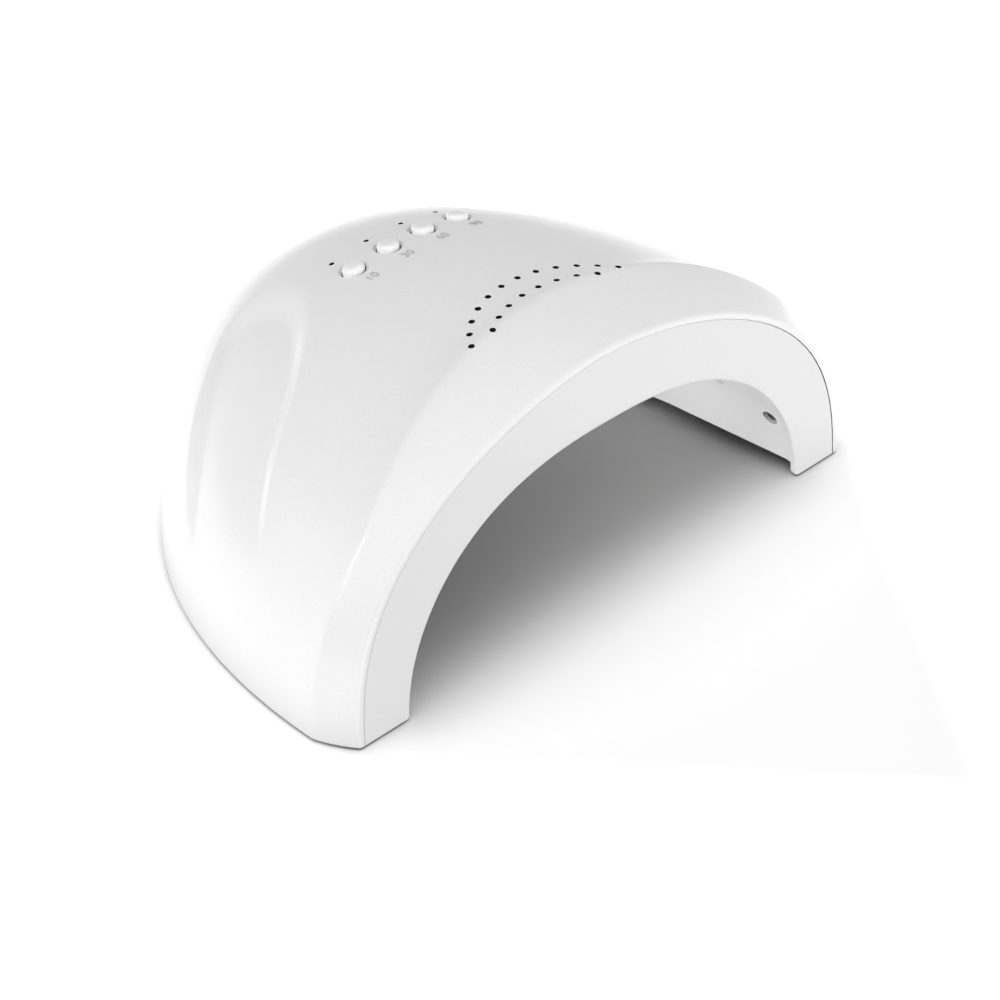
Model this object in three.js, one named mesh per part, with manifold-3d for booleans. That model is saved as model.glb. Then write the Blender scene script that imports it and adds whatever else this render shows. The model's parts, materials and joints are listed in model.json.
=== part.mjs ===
// A nail lamp: a glossy hood over an open-bottomed tunnel for one hand, with four push buttons on top.
// Millimetres, +Z up, +X to the right seen from the front. The lamp stands on z = 0, its mouth towards -Y.
// Inside this file y is counted from the front of the feet towards the back, and the last lines centre it.
import * as THREE from 'three';
import { mergeVertices } from 'three/addons/utils/BufferGeometryUtils.js';
import Module from 'manifold-3d';

const wasm = await Module();
wasm.setup();

// The hood, its front face and the mouth, seen from the front
const hoodWidth = 205.6;
const hoodDepth = 140.2;
const hoodHeight = 82;
const faceSideInset = 5.8;
const faceTopInset = 6.7;
const mouthSideBorder = 18.4;
const mouthTopBorder = 21.9;
const faceRakeAngle = 3.1 * Math.PI / 180;
const floorGap = 0.8;
const faceWidth = hoodWidth - 2 * faceSideInset;
const faceHeight = hoodHeight - faceTopInset;
const mouthWidth = faceWidth - 2 * mouthSideBorder;
const mouthHeight = faceHeight - mouthTopBorder;

// The soft ridge behind the front band, and the level crown behind it
const ridgeSetbackAtFoot = 11.8;
const ridgeSetbackAtTop = 27.1;
const ridgeRise = 0.45;
const ridgeFade = 20;
const ridgeShoulderShare = 0.8;
const bandCrown = 0.5;
const crownStartShare = 0.3488;
const crownStart = crownStartShare * hoodDepth;

// Roundness of each outline: 2 is an ellipse and more is squarer
const hoodPlanPower = 2.044;
const hoodCrownPower = 2.696;
const hoodSidePower = 2.095;
const hoodTopPower = 2.259;
const faceSidePower = 1.756;
const faceTopPower = 2.541;
const mouthSidePower = 2.53;
const mouthTopPower = 1.93;

// The tunnel behind the mouth: straight first, then closed by a half dome
const mouthUndercut = 1.3;
const rearRoom = 26.2;
const tunnelStraightShare = 0.421;
const tunnelWidth = mouthWidth + 2 * mouthUndercut;
const tunnelDepth = hoodDepth - rearRoom;
const tunnelStraight = tunnelStraightShare * tunnelDepth;
const tunnelPlanPower = 2;
const tunnelCrownPower = 2.5;
const mouthFlare = 5;

// Walls, seams and the recess under the lamp
const coverWall = 2.2;
const coverRim = 1.6;
const linerWall = 2;
const flangeWall = 2.4;
const seam = 0.3;
const overrun = 2;
const baseRecess = 3.9;
const baseWall = 2.4;
const baseClearance = 0.6;

// The scooped panel on each side of the hood: a leaning outline with one large and one small round on top
const scoopDepth = 2.1;
const scoopSetbackShare = 0.4458;
const scoopStartHeight = 33;
const scoopTopDrop = 9;
const scoopFrontRound = 28.4;
const scoopBackRound = 6.5;
const scoopMiddle = -9;
const scoopEdge = 8;
const scoopLeanAngle = 55.7 * Math.PI / 180;
const scoopStartSetback = scoopSetbackShare * hoodDepth;
const scoopLength = (hoodHeight - scoopTopDrop - scoopStartHeight) / Math.sin(scoopLeanAngle);
const scoopFadeStart = 14;
const scoopFadeLength = 40;

// Air holes over the mouth, in two arcs
const ventDiameter = 1.8;
const ventArcWidth = 66;
const ventArcRise = 26.7;
const ventArcSetback = 12.2;
const ventRowPitch = 7.5;
const ventAngle = 10.9 * Math.PI / 180;
const ventPairsPerRow = [6, 4];

// Push buttons with a pinhole light behind each
const buttonCount = 4;
const buttonPitch = 13.4;
const buttonSetbackShare = 0.552;
const buttonSetback = buttonSetbackShare * hoodDepth;
const buttonDiameter = 6.2;
const buttonHole = 7;
const buttonProud = 0.8;
const buttonDome = 0.7;
const buttonDish = 8.2;
const buttonDishDepth = 0.4;
const buttonFlange = 8.6;
const buttonFlangeWall = 1;
const buttonFlangeDrop = 0.6;
const buttonStem = 3.2;
const buttonTravel = 0.5;
const buttonShoulderShare = 0.85;
const buttonShoulderRiseShare = 0.6;
const pinholeDiameter = 1.5;
const pinholeSetback = 8.5;
const lightDiameter = 3;
const lightFlange = 3.8;
const lightFlangeWall = 1;
const lightHeadroom = 0.5;

// The control board hangs under the buttons
const boardWall = 1.6;
const controlDrop = 13;
const controlBossInset = 4.5;
const controlBoss = 6;
const controlBossGap = 4.4;
const controlEdge = 3;
const switchSide = 6;
const switchHeight = 3.6;
const plungerDiameter = 3.4;
const plungerHeight = 1.3;
const plungerSunk = 2.2;
const plungerClearance = 0.35;
const chipWidth = 7.6;
const chipLength = 18;
const chipHeight = 2.3;
const capacitorDiameter = 8;
const capacitorLength = 12;

// Lamp boards around the tunnel, each with its row of emitters
const lampBoardWidth = 14;
const topBoardWidth = 40;
const rearBoardLength = 44;
const lampRowStartShare = 0.1754;
const lampRowEndShare = 0.5789;
const sideTurnShare = 0.674;
const upperTurnShare = 0.4135;
const rearHeightShare = 0.5056;
const lampStandoff = 1.2;
const emitterDiameter = 4;
const emitterLength = 2.2;
const emitterDome = 0.9;
const emitterHole = 5;
const emitterEdge = 4.6;
const sidePitch = 9;
const upperPitch = 11;
const topEmitterSpread = 26;
const lampBossDiameter = 4.4;
const lampBossInset = 2.6;
const lensShoulderShare = 0.7;

// Hand sensor: an infrared pair that faces across the mouth
const sensorDiameter = 4.4;
const sensorHole = 5;
const sensorSetback = 8.5;
const sensorHeight = 18.6;
const sensorSocket = 8;
const sensorSocketLength = 4;
const sensorBoardSide = 8;
const sensorBoardWall = 1.2;

// Power inlet in the back
const jackHeight = 13;
const jackBody = 10.4;
const jackLength = 14;
const jackNose = 7.6;
const jackBore = 5.6;
const jackBoreDepth = 9.5;
const jackPin = 2;
const jackPinSetIn = 1;
const jackSetIn = 0.6;
const jackClearance = 0.8;
const jackWireSpread = 5;
const cradleWall = 1.8;
const cradleHeight = 5;

// Fasteners, feet and leads
const screwShank = 2.6;
const screwHead = 5.2;
const screwHeadHeight = 1.8;
const screwClearance = 0.3;
const caseScrewLength = 12;
const caseBoss = 7;
const casePilotDepth = 14;
const earWall = 2;
const earWidth = 9;
const frontScrewShare = 0.3566;
const rearScrewShare = 0.6847;
const rearScrewSpread = 36;
const boardScrewLength = 6;
const screwCrownShare = 0.7;
const footDiameter = 9;
const footPocketDepth = 1;
const frontFootShare = 0.1712;
const rearFootSpread = 66;
const leadDiameter = 2;
const wireDiameter = 1.5;
const headerWidth = 6;
const headerDepth = 4;
const headerHeight = 4.6;
const headerInset = 6;
const headerPitch = 6;
const leadStraight = 3;
const leadEndShare = 0.3;
const leadSideShare = 0.15;
const weldDistance = 0.0001;

// Mesh fineness, as counts
const hoodColumns = 36;
const hoodRows = 15;
const bandRows = 3;
const tunnelColumns = 28;
const tunnelRows = 9;
const roundFacets = 16;
const smallFacets = 8;
const holeFacets = 6;
const leadFacets = 3;
const leadSteps = 12;
const bisections = 40;

const finishes = {
  gloss_white: { color: 0xf4f4f4, roughness: 0.14, metalness: 0 },
  liner_white: { color: 0xededed, roughness: 0.3, metalness: 0 },
  base_grey: { color: 0xe2e2e2, roughness: 0.5, metalness: 0 },
  button_white: { color: 0xfbfbfb, roughness: 0.25, metalness: 0 },
  soft_rubber: { color: 0xc9c9c9, roughness: 0.85, metalness: 0 },
  circuit_green: { color: 0x1e6b3c, roughness: 0.45, metalness: 0 },
  circuit_white: { color: 0xf0f0ea, roughness: 0.4, metalness: 0 },
  black_resin: { color: 0x141414, roughness: 0.4, metalness: 0 },
  steel: { color: 0xb8bbbf, roughness: 0.3, metalness: 1 },
  clear_resin: { color: 0xdfe6ea, roughness: 0.1, metalness: 0 },
  capacitor_sleeve: { color: 0x23344f, roughness: 0.4, metalness: 0 },
  red_wire: { color: 0xb3201c, roughness: 0.5, metalness: 0 },
  black_wire: { color: 0x1b1b1b, roughness: 0.5, metalness: 0 },
  white_wire: { color: 0xe8e8e4, roughness: 0.5, metalness: 0 },
};

const lamp = new THREE.Group();

// Solids: three.js geometry to a manifold, and back
function toSolid(geometry) {
  const bare = geometry.clone();
  bare.deleteAttribute('normal');
  bare.deleteAttribute('uv');
  const merged = mergeVertices(bare, weldDistance);
  const vertProperties = merged.attributes.position.array;
  const triVerts = new Uint32Array(merged.index.array);
  return new wasm.Manifold(new wasm.Mesh({ numProp: 3, vertProperties, triVerts }));
}

function toGeometry(solid) {
  const mesh = solid.getMesh();
  const geometry = new THREE.BufferGeometry();
  geometry.setAttribute('position', new THREE.BufferAttribute(mesh.vertProperties, 3));
  geometry.setIndex(new THREE.BufferAttribute(mesh.triVerts, 1));
  const faceted = geometry.toNonIndexed();
  faceted.computeVertexNormals();
  return faceted;
}

function addPiece(name, finish, solid) {
  const mesh = new THREE.Mesh(toGeometry(solid), new THREE.MeshStandardMaterial(finishes[finish]));
  mesh.name = name;
  lamp.add(mesh);
  return mesh;
}

function placed(solid, frame) {
  return solid.transform(frame.elements);
}

// A block whose bottom face is centred on the frame's origin, height along the frame's z
function block(width, length, height, frame = new THREE.Matrix4()) {
  const geometry = new THREE.BoxGeometry(width, length, height).translate(0, 0, height / 2);
  return placed(toSolid(geometry), frame);
}

// A body of revolution around the frame's z, from [radius, height] points that start and end on the axis
function turned(profile, facets, frame = new THREE.Matrix4()) {
  const points = profile.map(([radius, height]) => new THREE.Vector2(radius, height));
  const geometry = new THREE.LatheGeometry(points, facets).rotateX(Math.PI / 2);
  return placed(toSolid(geometry), frame);
}

// A rod along the frame's z, between two heights
function rod(diameter, low, high, facets, frame) {
  const radius = diameter / 2;
  return turned([[0, low], [radius, low], [radius, high], [0, high]], facets, frame);
}

// A frame at a point: z along the outward normal, x as near as can be to the given direction
function frameAt(origin, normal, across) {
  const z = normal.clone().normalize();
  const y = new THREE.Vector3().crossVectors(z, across).normalize();
  const x = new THREE.Vector3().crossVectors(y, z);
  return new THREE.Matrix4().makeBasis(x, y, z).setPosition(origin);
}

// An upright frame over a place on the table
function upright(x, y) {
  return new THREE.Matrix4().makeTranslation(x, y, 0);
}

// The same frame, moved along its own axes
function shifted(frame, x, y, z) {
  return frame.clone().multiply(new THREE.Matrix4().makeTranslation(x, y, z));
}

// A tube through points, with flat ends
function lead(diameter, points, steps) {
  const section = new THREE.Shape();
  section.absarc(0, 0, diameter / 2, 0, 2 * Math.PI);
  const path = new THREE.CatmullRomCurve3(points, false, 'centripetal');
  const settings = { steps, extrudePath: path, curveSegments: leadFacets };
  return toSolid(new THREE.ExtrudeGeometry(section, settings));
}

// One quarter of a superellipse as a height over a share of its width: (1 - share^power)^(1/power)
function falloff(share, power) {
  const kept = Math.min(Math.max(share, 0), 1);
  return Math.max(0, 1 - kept ** power) ** (1 / power);
}

// A point of an arch seen from the front. The turn runs from -1 at the left foot to 1 at the right foot
function archPoint(halfWidth, height, sidePower, topPower, turn, foot) {
  const limit = Math.acos(Math.min(1, foot / height) ** (topPower / 2));
  const angle = turn * limit;
  const x = halfWidth * Math.sign(angle) * Math.abs(Math.sin(angle)) ** (2 / sidePower);
  const z = Math.max(foot, height * Math.abs(Math.cos(angle)) ** (2 / topPower));
  return { x, z };
}

// The hood's half width and height at a depth y, for its outer face or a face inset from it
function hoodHalfWidth(y, inset) {
  const depth = hoodDepth - inset;
  return (hoodWidth / 2 - inset) * falloff(y / depth, hoodPlanPower);
}

function hoodCrown(y, inset) {
  const depth = hoodDepth - inset;
  return (hoodHeight - inset) * falloff((y - crownStart) / (depth - crownStart), hoodCrownPower);
}

// The ridge's distance from the front: deepest over the middle, least at the feet
function ridgeSetback(x) {
  const shoulder = ridgeShoulderShare * hoodWidth / 2;
  const arch = Math.max(0, 1 - (x / shoulder) ** 2);
  return ridgeSetbackAtFoot + (ridgeSetbackAtTop - ridgeSetbackAtFoot) * arch;
}

// How deep the side panel is scooped at a point of the hood, seen from the side
function scoop(y, z) {
  const back = y - scoopStartSetback;
  const rise = z - scoopStartHeight;
  const along = Math.cos(scoopLeanAngle) * back + Math.sin(scoopLeanAngle) * rise;
  const across = Math.cos(scoopLeanAngle) * rise - Math.sin(scoopLeanAngle) * back - scoopMiddle;
  const round = across > 0 ? scoopFrontRound : scoopBackRound;
  const inside = round - Math.hypot(across, Math.max(along - scoopLength + round, 0));
  const fade = THREE.MathUtils.smoothstep(along + scoopFadeStart, 0, scoopFadeLength);
  return scoopDepth * fade * THREE.MathUtils.smoothstep(inside, 0, scoopEdge);
}

// The hood's surface at a depth and a turn, with the ridge's rise and the side scoops
function hoodPoint(y, turn, inset, foot = floorGap) {
  const halfWidth = hoodHalfWidth(y, inset);
  const crown = hoodCrown(y, inset);
  if (crown <= foot) return new THREE.Vector3(0, y, foot);
  const arch = archPoint(halfWidth, crown, hoodSidePower, hoodTopPower, turn, foot);
  const behind = (y - ridgeSetback(arch.x)) / ridgeFade;
  const rise = ridgeRise * Math.max(0, 1 - Math.abs(behind)) ** 2;
  const lift = 1 + rise / (hoodHeight - inset) * (arch.z - foot) / crown;
  const sink = Math.abs(turn) < 1 ? scoop(y, arch.z) : 0;
  const outward = new THREE.Vector2(arch.x / halfWidth, arch.z / crown);
  const side = new THREE.Vector2(outward.x / halfWidth, outward.y / crown).normalize();
  return new THREE.Vector3(arch.x * lift - side.x * sink, y, arch.z * lift - side.y * sink);
}

// Depth at which a crown has come down to the foot's height
function hoodEnd(inset) {
  const depth = hoodDepth - inset;
  return crownStart + (depth - crownStart) * falloff(floorGap / (hoodHeight - inset), hoodCrownPower);
}

// The front outline of the cover, in the raked face
function facePoint(turn, inset) {
  const halfWidth = faceWidth / 2 - inset;
  const arch = archPoint(halfWidth, faceHeight - inset, faceSidePower, faceTopPower, turn, floorGap);
  return new THREE.Vector3(arch.x, arch.z * Math.tan(faceRakeAngle), arch.z);
}

// The cover from its front outline, up the band, over the ridge and back to the floor
function coverPoint(row, turn, inset, rim) {
  const start = hoodPoint(ridgeSetbackAtFoot, turn, inset);
  const ridgeY = ridgeSetback(start.x);
  if (row <= bandRows) {
    const share = row / bandRows;
    const point = facePoint(turn, rim).lerp(hoodPoint(ridgeY, turn, inset), share);
    const swell = 1 + bandCrown * 4 * share * (1 - share) / hoodHeight;
    point.x *= swell;
    if (Math.abs(turn) < 1) point.z = floorGap + (point.z - floorGap) * swell;
    return point;
  }
  const share = 1 - (1 - (row - bandRows) / hoodRows) ** 2;
  return hoodPoint(ridgeY + (hoodEnd(inset) - ridgeY) * share, turn, inset);
}

// The tunnel's half width and crown at a depth y, on its inner face or outset from it
function tunnelHalfWidth(y, outset) {
  const depth = tunnelDepth + outset - tunnelStraight;
  const flare = THREE.MathUtils.smoothstep(y, 0, mouthFlare);
  const width = mouthWidth + (tunnelWidth - mouthWidth) * flare;
  return (width / 2 + outset) * falloff((y - tunnelStraight) / depth, tunnelPlanPower);
}

function tunnelCrown(y, outset) {
  const depth = tunnelDepth + outset - tunnelStraight;
  return (mouthHeight + outset) * falloff((y - tunnelStraight) / depth, tunnelCrownPower);
}

function tunnelPoint(y, turn, outset, foot = floorGap) {
  const halfWidth = tunnelHalfWidth(y, outset);
  const crown = tunnelCrown(y, outset);
  if (crown <= foot) return new THREE.Vector3(0, y, foot);
  const arch = archPoint(halfWidth, crown, mouthSidePower, mouthTopPower, turn, foot);
  return new THREE.Vector3(arch.x, y, arch.z);
}

function tunnelEnd(outset) {
  const depth = tunnelDepth + outset - tunnelStraight;
  return tunnelStraight + depth * falloff(floorGap / (mouthHeight + outset), tunnelCrownPower);
}

// The depth at which the tunnel's crown line is a given height, on its outer face
function tunnelBackAt(height) {
  const depth = tunnelDepth + linerWall - tunnelStraight;
  return tunnelStraight + depth * falloff(height / (mouthHeight + linerWall), tunnelCrownPower);
}

// The turn at which the tunnel's outer face is a given height
function tunnelTurnAt(y, height) {
  const crown = tunnelCrown(y, linerWall);
  const limit = Math.acos(Math.min(1, floorGap / crown) ** (mouthTopPower / 2));
  return Math.acos(Math.min(1, height / crown) ** (mouthTopPower / 2)) / limit;
}

// The liner's visible face: flange, then the tunnel to its back. The hidden face is outset by the walls
function linerPoint(row, turn, hidden) {
  const outset = hidden ? linerWall : 0;
  const flange = hidden ? flangeWall : 0;
  if (row === 0) {
    const edge = facePoint(turn, coverRim + seam);
    edge.y += flange;
    return edge;
  }
  const mouth = tunnelPoint(0, turn, outset);
  const front = mouth.z * Math.tan(faceRakeAngle) + flange;
  const share = 1 - (1 - (row - 1) / tunnelRows) ** 2;
  return tunnelPoint(front + (tunnelEnd(outset) - front) * share, turn, outset);
}

// A closed wall between an outer and an inner sheet of points that both end in one pole
function wallSolid(rows, columns, outerAt, innerAt) {
  const positions = [];
  const triangles = [];
  const sheetSize = rows * (columns + 1) + 1;
  for (const at of [outerAt, innerAt]) {
    for (let row = 0; row < rows; row += 1) {
      for (let column = 0; column <= columns; column += 1) {
        positions.push(...at(row, 2 * column / columns - 1).toArray());
      }
    }
    positions.push(...at(rows, 0).toArray());
  }
  const at = (sheet, row, column) => {
    const step = row < rows ? row * (columns + 1) + column : sheetSize - 1;
    return sheet * sheetSize + step;
  };
  const quad = (a, b, c, d) => {
    if (a !== b && b !== c && a !== c) triangles.push(a, b, c);
    if (a !== c && c !== d && a !== d) triangles.push(a, c, d);
  };
  for (let row = 0; row < rows; row += 1) {
    for (let column = 0; column < columns; column += 1) {
      quad(at(0, row, column), at(0, row, column + 1), at(0, row + 1, column + 1), at(0, row + 1, column));
      quad(at(1, row, column), at(1, row + 1, column), at(1, row + 1, column + 1), at(1, row, column + 1));
    }
    quad(at(0, row, 0), at(0, row + 1, 0), at(1, row + 1, 0), at(1, row, 0));
    quad(at(0, row, columns), at(1, row, columns), at(1, row + 1, columns), at(0, row + 1, columns));
  }
  for (let column = 0; column < columns; column += 1) {
    quad(at(0, 0, column), at(1, 0, column), at(1, 0, column + 1), at(0, 0, column + 1));
  }
  const geometry = new THREE.BufferGeometry();
  geometry.setAttribute('position', new THREE.BufferAttribute(new Float32Array(positions), 3));
  geometry.setIndex(triangles);
  return toSolid(geometry);
}

// A flat plate from a plan outline, between two heights
function plate(outline, low, high) {
  const shape = new THREE.Shape(outline.map(([x, y]) => new THREE.Vector2(x, y)));
  const geometry = new THREE.ExtrudeGeometry(shape, { depth: high - low, bevelEnabled: false });
  return toSolid(geometry.translate(0, 0, low));
}

const up = new THREE.Vector3(0, 0, 1);
const right = new THREE.Vector3(1, 0, 0);

// Places that several pieces share
const baseTop = baseRecess + baseWall;
const bossFoot = baseTop + earWall + 2 * seam;
const frameFront = flangeWall + baseTop * Math.tan(faceRakeAngle) + baseClearance;
const screwBore = screwShank + 2 * screwClearance;

// The buttons' shared axis is square to the crown where the buttons sit
function hoodTopAt(x, y, inset = 0) {
  const halfWidth = hoodHalfWidth(y, inset);
  return hoodCrown(y, inset) * falloff(Math.abs(x) / halfWidth, (hoodSidePower + hoodTopPower) / 2);
}

const panelOrigin = new THREE.Vector3(0, buttonSetback, hoodTopAt(0, buttonSetback));
const panelRise = hoodTopAt(0, buttonSetback + coverWall) - hoodTopAt(0, buttonSetback - coverWall);
const panelSlope = panelRise / (2 * coverWall);
const panelNormal = new THREE.Vector3(0, -panelSlope, 1).normalize();
const panel = frameAt(panelOrigin, panelNormal, right);

// How far the hood has dropped below the panel plane at a place on the panel, outside or inside
function panelDrop(x, y, inset) {
  const guess = new THREE.Vector3(x, y, 0).applyMatrix4(panel);
  const top = new THREE.Vector3(x, guess.y, hoodTopAt(x, guess.y, inset));
  return top.applyMatrix4(panel.clone().invert()).z;
}

// Evenly spaced places, centred on zero
function row(count, pitch) {
  return Array.from({ length: count }, (_, i) => (i - (count - 1) / 2) * pitch);
}

const buttonPlaces = row(buttonCount, buttonPitch);
const controlBossSpan = (buttonCount - 1) * buttonPitch + switchSide + 2 * controlBossGap + controlBoss;
const controlBossPlaces = row(2, controlBossSpan).map((x) => [x, 0]);
const controlWidth = controlBossSpan + 2 * controlBossInset;
const controlLength = 4 * headerPitch + headerDepth + 2 * controlEdge;
const controlTop = -controlDrop;

// Middle of the space between tunnel and cover, for bosses, screws and feet
function sideGapMiddle(y) {
  return (tunnelHalfWidth(y, linerWall) + hoodHalfWidth(y, coverWall)) / 2;
}

function planDepth(x, halfWidth, start, depth, power) {
  return start + (depth - start) * falloff(Math.abs(x) / halfWidth, power);
}

function rearGapMiddle(x) {
  const innerHalf = tunnelWidth / 2 + linerWall;
  const inner = planDepth(x, innerHalf, tunnelStraight, tunnelDepth + linerWall, tunnelPlanPower);
  const outer = planDepth(x, hoodWidth / 2 - coverWall, 0, hoodDepth - coverWall, hoodPlanPower);
  return (inner + outer) / 2;
}

// Places for a row of posts along each side, then one pair at the back
function postPlaces(side, depthShares, rearSpread) {
  const depths = depthShares.map((share) => share * hoodDepth);
  const sides = depths.map((y) => [side * sideGapMiddle(y), y]);
  return [...sides, [side * rearSpread / 2, rearGapMiddle(rearSpread / 2)]];
}

const sideScrewShares = [frontScrewShare, rearScrewShare];
const caseScrewPlaces = [-1, 1].flatMap((side) => postPlaces(side, sideScrewShares, rearScrewSpread));
const footPlaces = [-1, 1].flatMap((side) => postPlaces(side, [frontFootShare], rearFootSpread));

// A place between tunnel and cover, from 0 on the tunnel to 1 on the cover
function between(turn, depthShare, roomShare) {
  const y = depthShare * tunnelDepth;
  const low = tunnelPoint(y, turn, linerWall);
  return low.lerp(hoodPoint(y, turn, coverWall), roomShare);
}

// A frame on the tunnel's outer face, its z pointing away from the tunnel and its y towards the back
function tunnelFrame(y, turn) {
  const step = linerWall;
  const origin = tunnelPoint(y, turn, linerWall);
  const turnStep = step / tunnelWidth;
  const outer = (depth, angle) => tunnelPoint(depth, angle, linerWall);
  const overTurn = outer(y, turn + turnStep).sub(outer(y, turn - turnStep));
  const overDepth = outer(y + step, turn).sub(outer(y - step, turn));
  const normal = new THREE.Vector3().crossVectors(overTurn, overDepth).normalize();
  return frameAt(origin, normal, overTurn.normalize());
}

const lampRowStart = lampRowStartShare * tunnelDepth;
const lampBoardLength = lampRowEndShare * tunnelDepth - lampRowStart;
const lampRowMiddle = lampRowStart + lampBoardLength / 2;
const rearBoardY = tunnelBackAt(rearHeightShare * mouthHeight);

// As many emitters as fit along a board at a pitch
function emitterRow(length, pitch) {
  return row(1 + Math.floor((length - 2 * emitterEdge) / pitch), pitch);
}

const sideSpots = emitterRow(lampBoardLength, sidePitch).map((y) => [0, y]);
const upperSpots = emitterRow(lampBoardLength, upperPitch).map((y) => [0, y]);
const topSpots = upperSpots.flatMap(([, y]) => row(2, topEmitterSpread).map((x) => [x, y]));
const rearSpots = emitterRow(rearBoardLength, upperPitch).map((x) => [x, 0]);

function lampBoard(name, turn, y, width, length, emitterSpots) {
  const frame = shifted(tunnelFrame(y, turn), 0, 0, lampStandoff);
  return { name, frame, width, length, emitterSpots };
}

function frontBoard(name, turn, width, emitterSpots) {
  return lampBoard(name, turn, lampRowMiddle, width, lampBoardLength, emitterSpots);
}

const lampBoards = [
  frontBoard('left_led_board', -sideTurnShare, lampBoardWidth, sideSpots),
  frontBoard('right_led_board', sideTurnShare, lampBoardWidth, sideSpots),
  frontBoard('upper_left_led_board', -upperTurnShare, lampBoardWidth, upperSpots),
  frontBoard('upper_right_led_board', upperTurnShare, lampBoardWidth, upperSpots),
  frontBoard('top_led_board', 0, topBoardWidth, topSpots),
  lampBoard('rear_led_board', 0, rearBoardY, rearBoardLength, lampBoardWidth, rearSpots),
];

// Two opposite corners of a board, where its bosses stand clear of the emitters
function bossSpots(board) {
  const across = board.width / 2 - lampBossInset;
  const along = board.length / 2 - lampBossInset;
  return [[-across, -along], [across, along]];
}

const sensorTurn = tunnelTurnAt(sensorSetback, sensorHeight);
const sensorFrames = {
  emitter: tunnelFrame(sensorSetback, -sensorTurn),
  receiver: tunnelFrame(sensorSetback, sensorTurn),
};

// The value between low and high at which a test turns from false to true
function turningPoint(low, high, test) {
  let below = low;
  let above = high;
  for (let i = 0; i < bisections; i += 1) {
    const middle = (below + above) / 2;
    if (test(middle)) above = middle;
    else below = middle;
  }
  return (below + above) / 2;
}

// The depth of the hood's back at a place seen from behind
function hoodBackAt(x, z, inset) {
  return turningPoint(crownStart, hoodDepth - inset, (y) => {
    const across = Math.abs(x) / Math.max(hoodHalfWidth(y, inset), seam);
    const above = z / Math.max(hoodCrown(y, inset), seam);
    return across ** hoodSidePower + above ** hoodTopPower > 1;
  });
}

const jackTop = jackHeight + jackBody / 2;
const jackFaceY = hoodBackAt(jackBody / 2, jackTop, coverWall) - jackClearance;
const jackNoseLength = hoodDepth - jackSetIn - jackFaceY;
const jackFrame = new THREE.Matrix4().makeRotationX(-Math.PI / 2).setPosition(0, jackFaceY, jackHeight);

// Height of the tunnel's outer face under a place on a board, in the board's own frame
function tunnelUnder(frame, x, y) {
  return turningPoint(-tunnelDepth / 4, lampStandoff, (z) => {
    const point = new THREE.Vector3(x, y, z).applyMatrix4(frame);
    const across = Math.abs(point.x) / Math.max(tunnelHalfWidth(point.y, linerWall), seam);
    const above = point.z / Math.max(tunnelCrown(point.y, linerWall), seam);
    return across ** mouthSidePower + above ** mouthTopPower > 1;
  });
}

// A closed solid of the space inside a sheet of points, down to the floor gap
function coreSolid(rows, columns, at) {
  return wallSolid(rows, columns, at, (r, turn) => at(r, turn).setZ(floorGap));
}

// The screw ears that clamp the liner between the base frame and the cover's bosses
function linerEars() {
  const low = baseTop + seam;
  const core = coreSolid(tunnelRows, tunnelColumns, (r, turn) => {
    const share = 1 - (1 - r / tunnelRows) ** 2;
    return tunnelPoint(tunnelEnd(linerWall / 2) * share, turn, linerWall / 2);
  });
  const ears = caseScrewPlaces.map(([x, y]) => {
    const inward = new THREE.Vector3(-x, Math.min(0, tunnelStraight - y), 0).normalize();
    const reachIn = caseBoss / 2 + hoodWidth / 2 - tunnelWidth / 2;
    const middle = new THREE.Vector3(x, y, low).addScaledVector(inward, reachIn / 2);
    const frame = frameAt(middle, up, inward);
    const disc = rod(earWidth, low, low + earWall, roundFacets, upright(x, y));
    return block(reachIn, earWidth, earWall, frame).add(disc);
  });
  return ears.map((ear) => ear.subtract(core));
}

// The liner: front flange and tunnel in one moulding, with holes for emitters and sensors
function makeLiner() {
  let solid = wallSolid(
    tunnelRows + 1,
    tunnelColumns,
    (r, turn) => linerPoint(r, turn, true),
    (r, turn) => linerPoint(r, turn, false),
  );
  for (const board of lampBoards) {
    for (const [x, y] of bossSpots(board)) {
      const low = tunnelUnder(board.frame, x, y) - linerWall / 2;
      solid = solid.add(rod(lampBossDiameter, low, -seam, smallFacets, shifted(board.frame, x, y, 0)));
    }
  }
  for (const frame of Object.values(sensorFrames)) {
    solid = solid.add(rod(sensorSocket, -linerWall / 2, sensorSocketLength, roundFacets, frame));
  }
  for (const board of lampBoards) {
    for (const [x, y] of board.emitterSpots) {
      const low = tunnelUnder(board.frame, x, y) - linerWall - overrun;
      const hole = rod(emitterHole, low, overrun, smallFacets, shifted(board.frame, x, y, 0));
      solid = solid.subtract(hole);
    }
  }
  for (const frame of Object.values(sensorFrames)) {
    const hole = rod(sensorHole, -linerWall - overrun, sensorSocketLength + overrun, roundFacets, frame);
    solid = solid.subtract(hole);
  }
  for (const ear of linerEars()) solid = solid.add(ear);
  for (const [x, y] of caseScrewPlaces) {
    const hole = rod(screwBore, 0, baseTop + earWall + overrun, smallFacets, upright(x, y));
    solid = solid.subtract(hole);
  }
  const recess = new THREE.Matrix4().makeTranslation(0, frameFront - baseClearance + hoodDepth / 2, 0);
  return solid.subtract(block(hoodWidth, hoodDepth, baseRecess, recess));
}

// The two arcs of air holes over the mouth
function ventPlaces() {
  const places = [];
  ventPairsPerRow.forEach((pairs, arc) => {
    for (let i = 0; i < pairs; i += 1) {
      for (const side of [-1, 1]) {
        const angle = side * (i + 0.5) * ventAngle;
        const y = ventArcSetback - arc * ventRowPitch + ventArcRise * Math.cos(angle);
        places.push([ventArcWidth / 2 * Math.sin(angle), y]);
      }
    }
  });
  return places;
}

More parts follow.
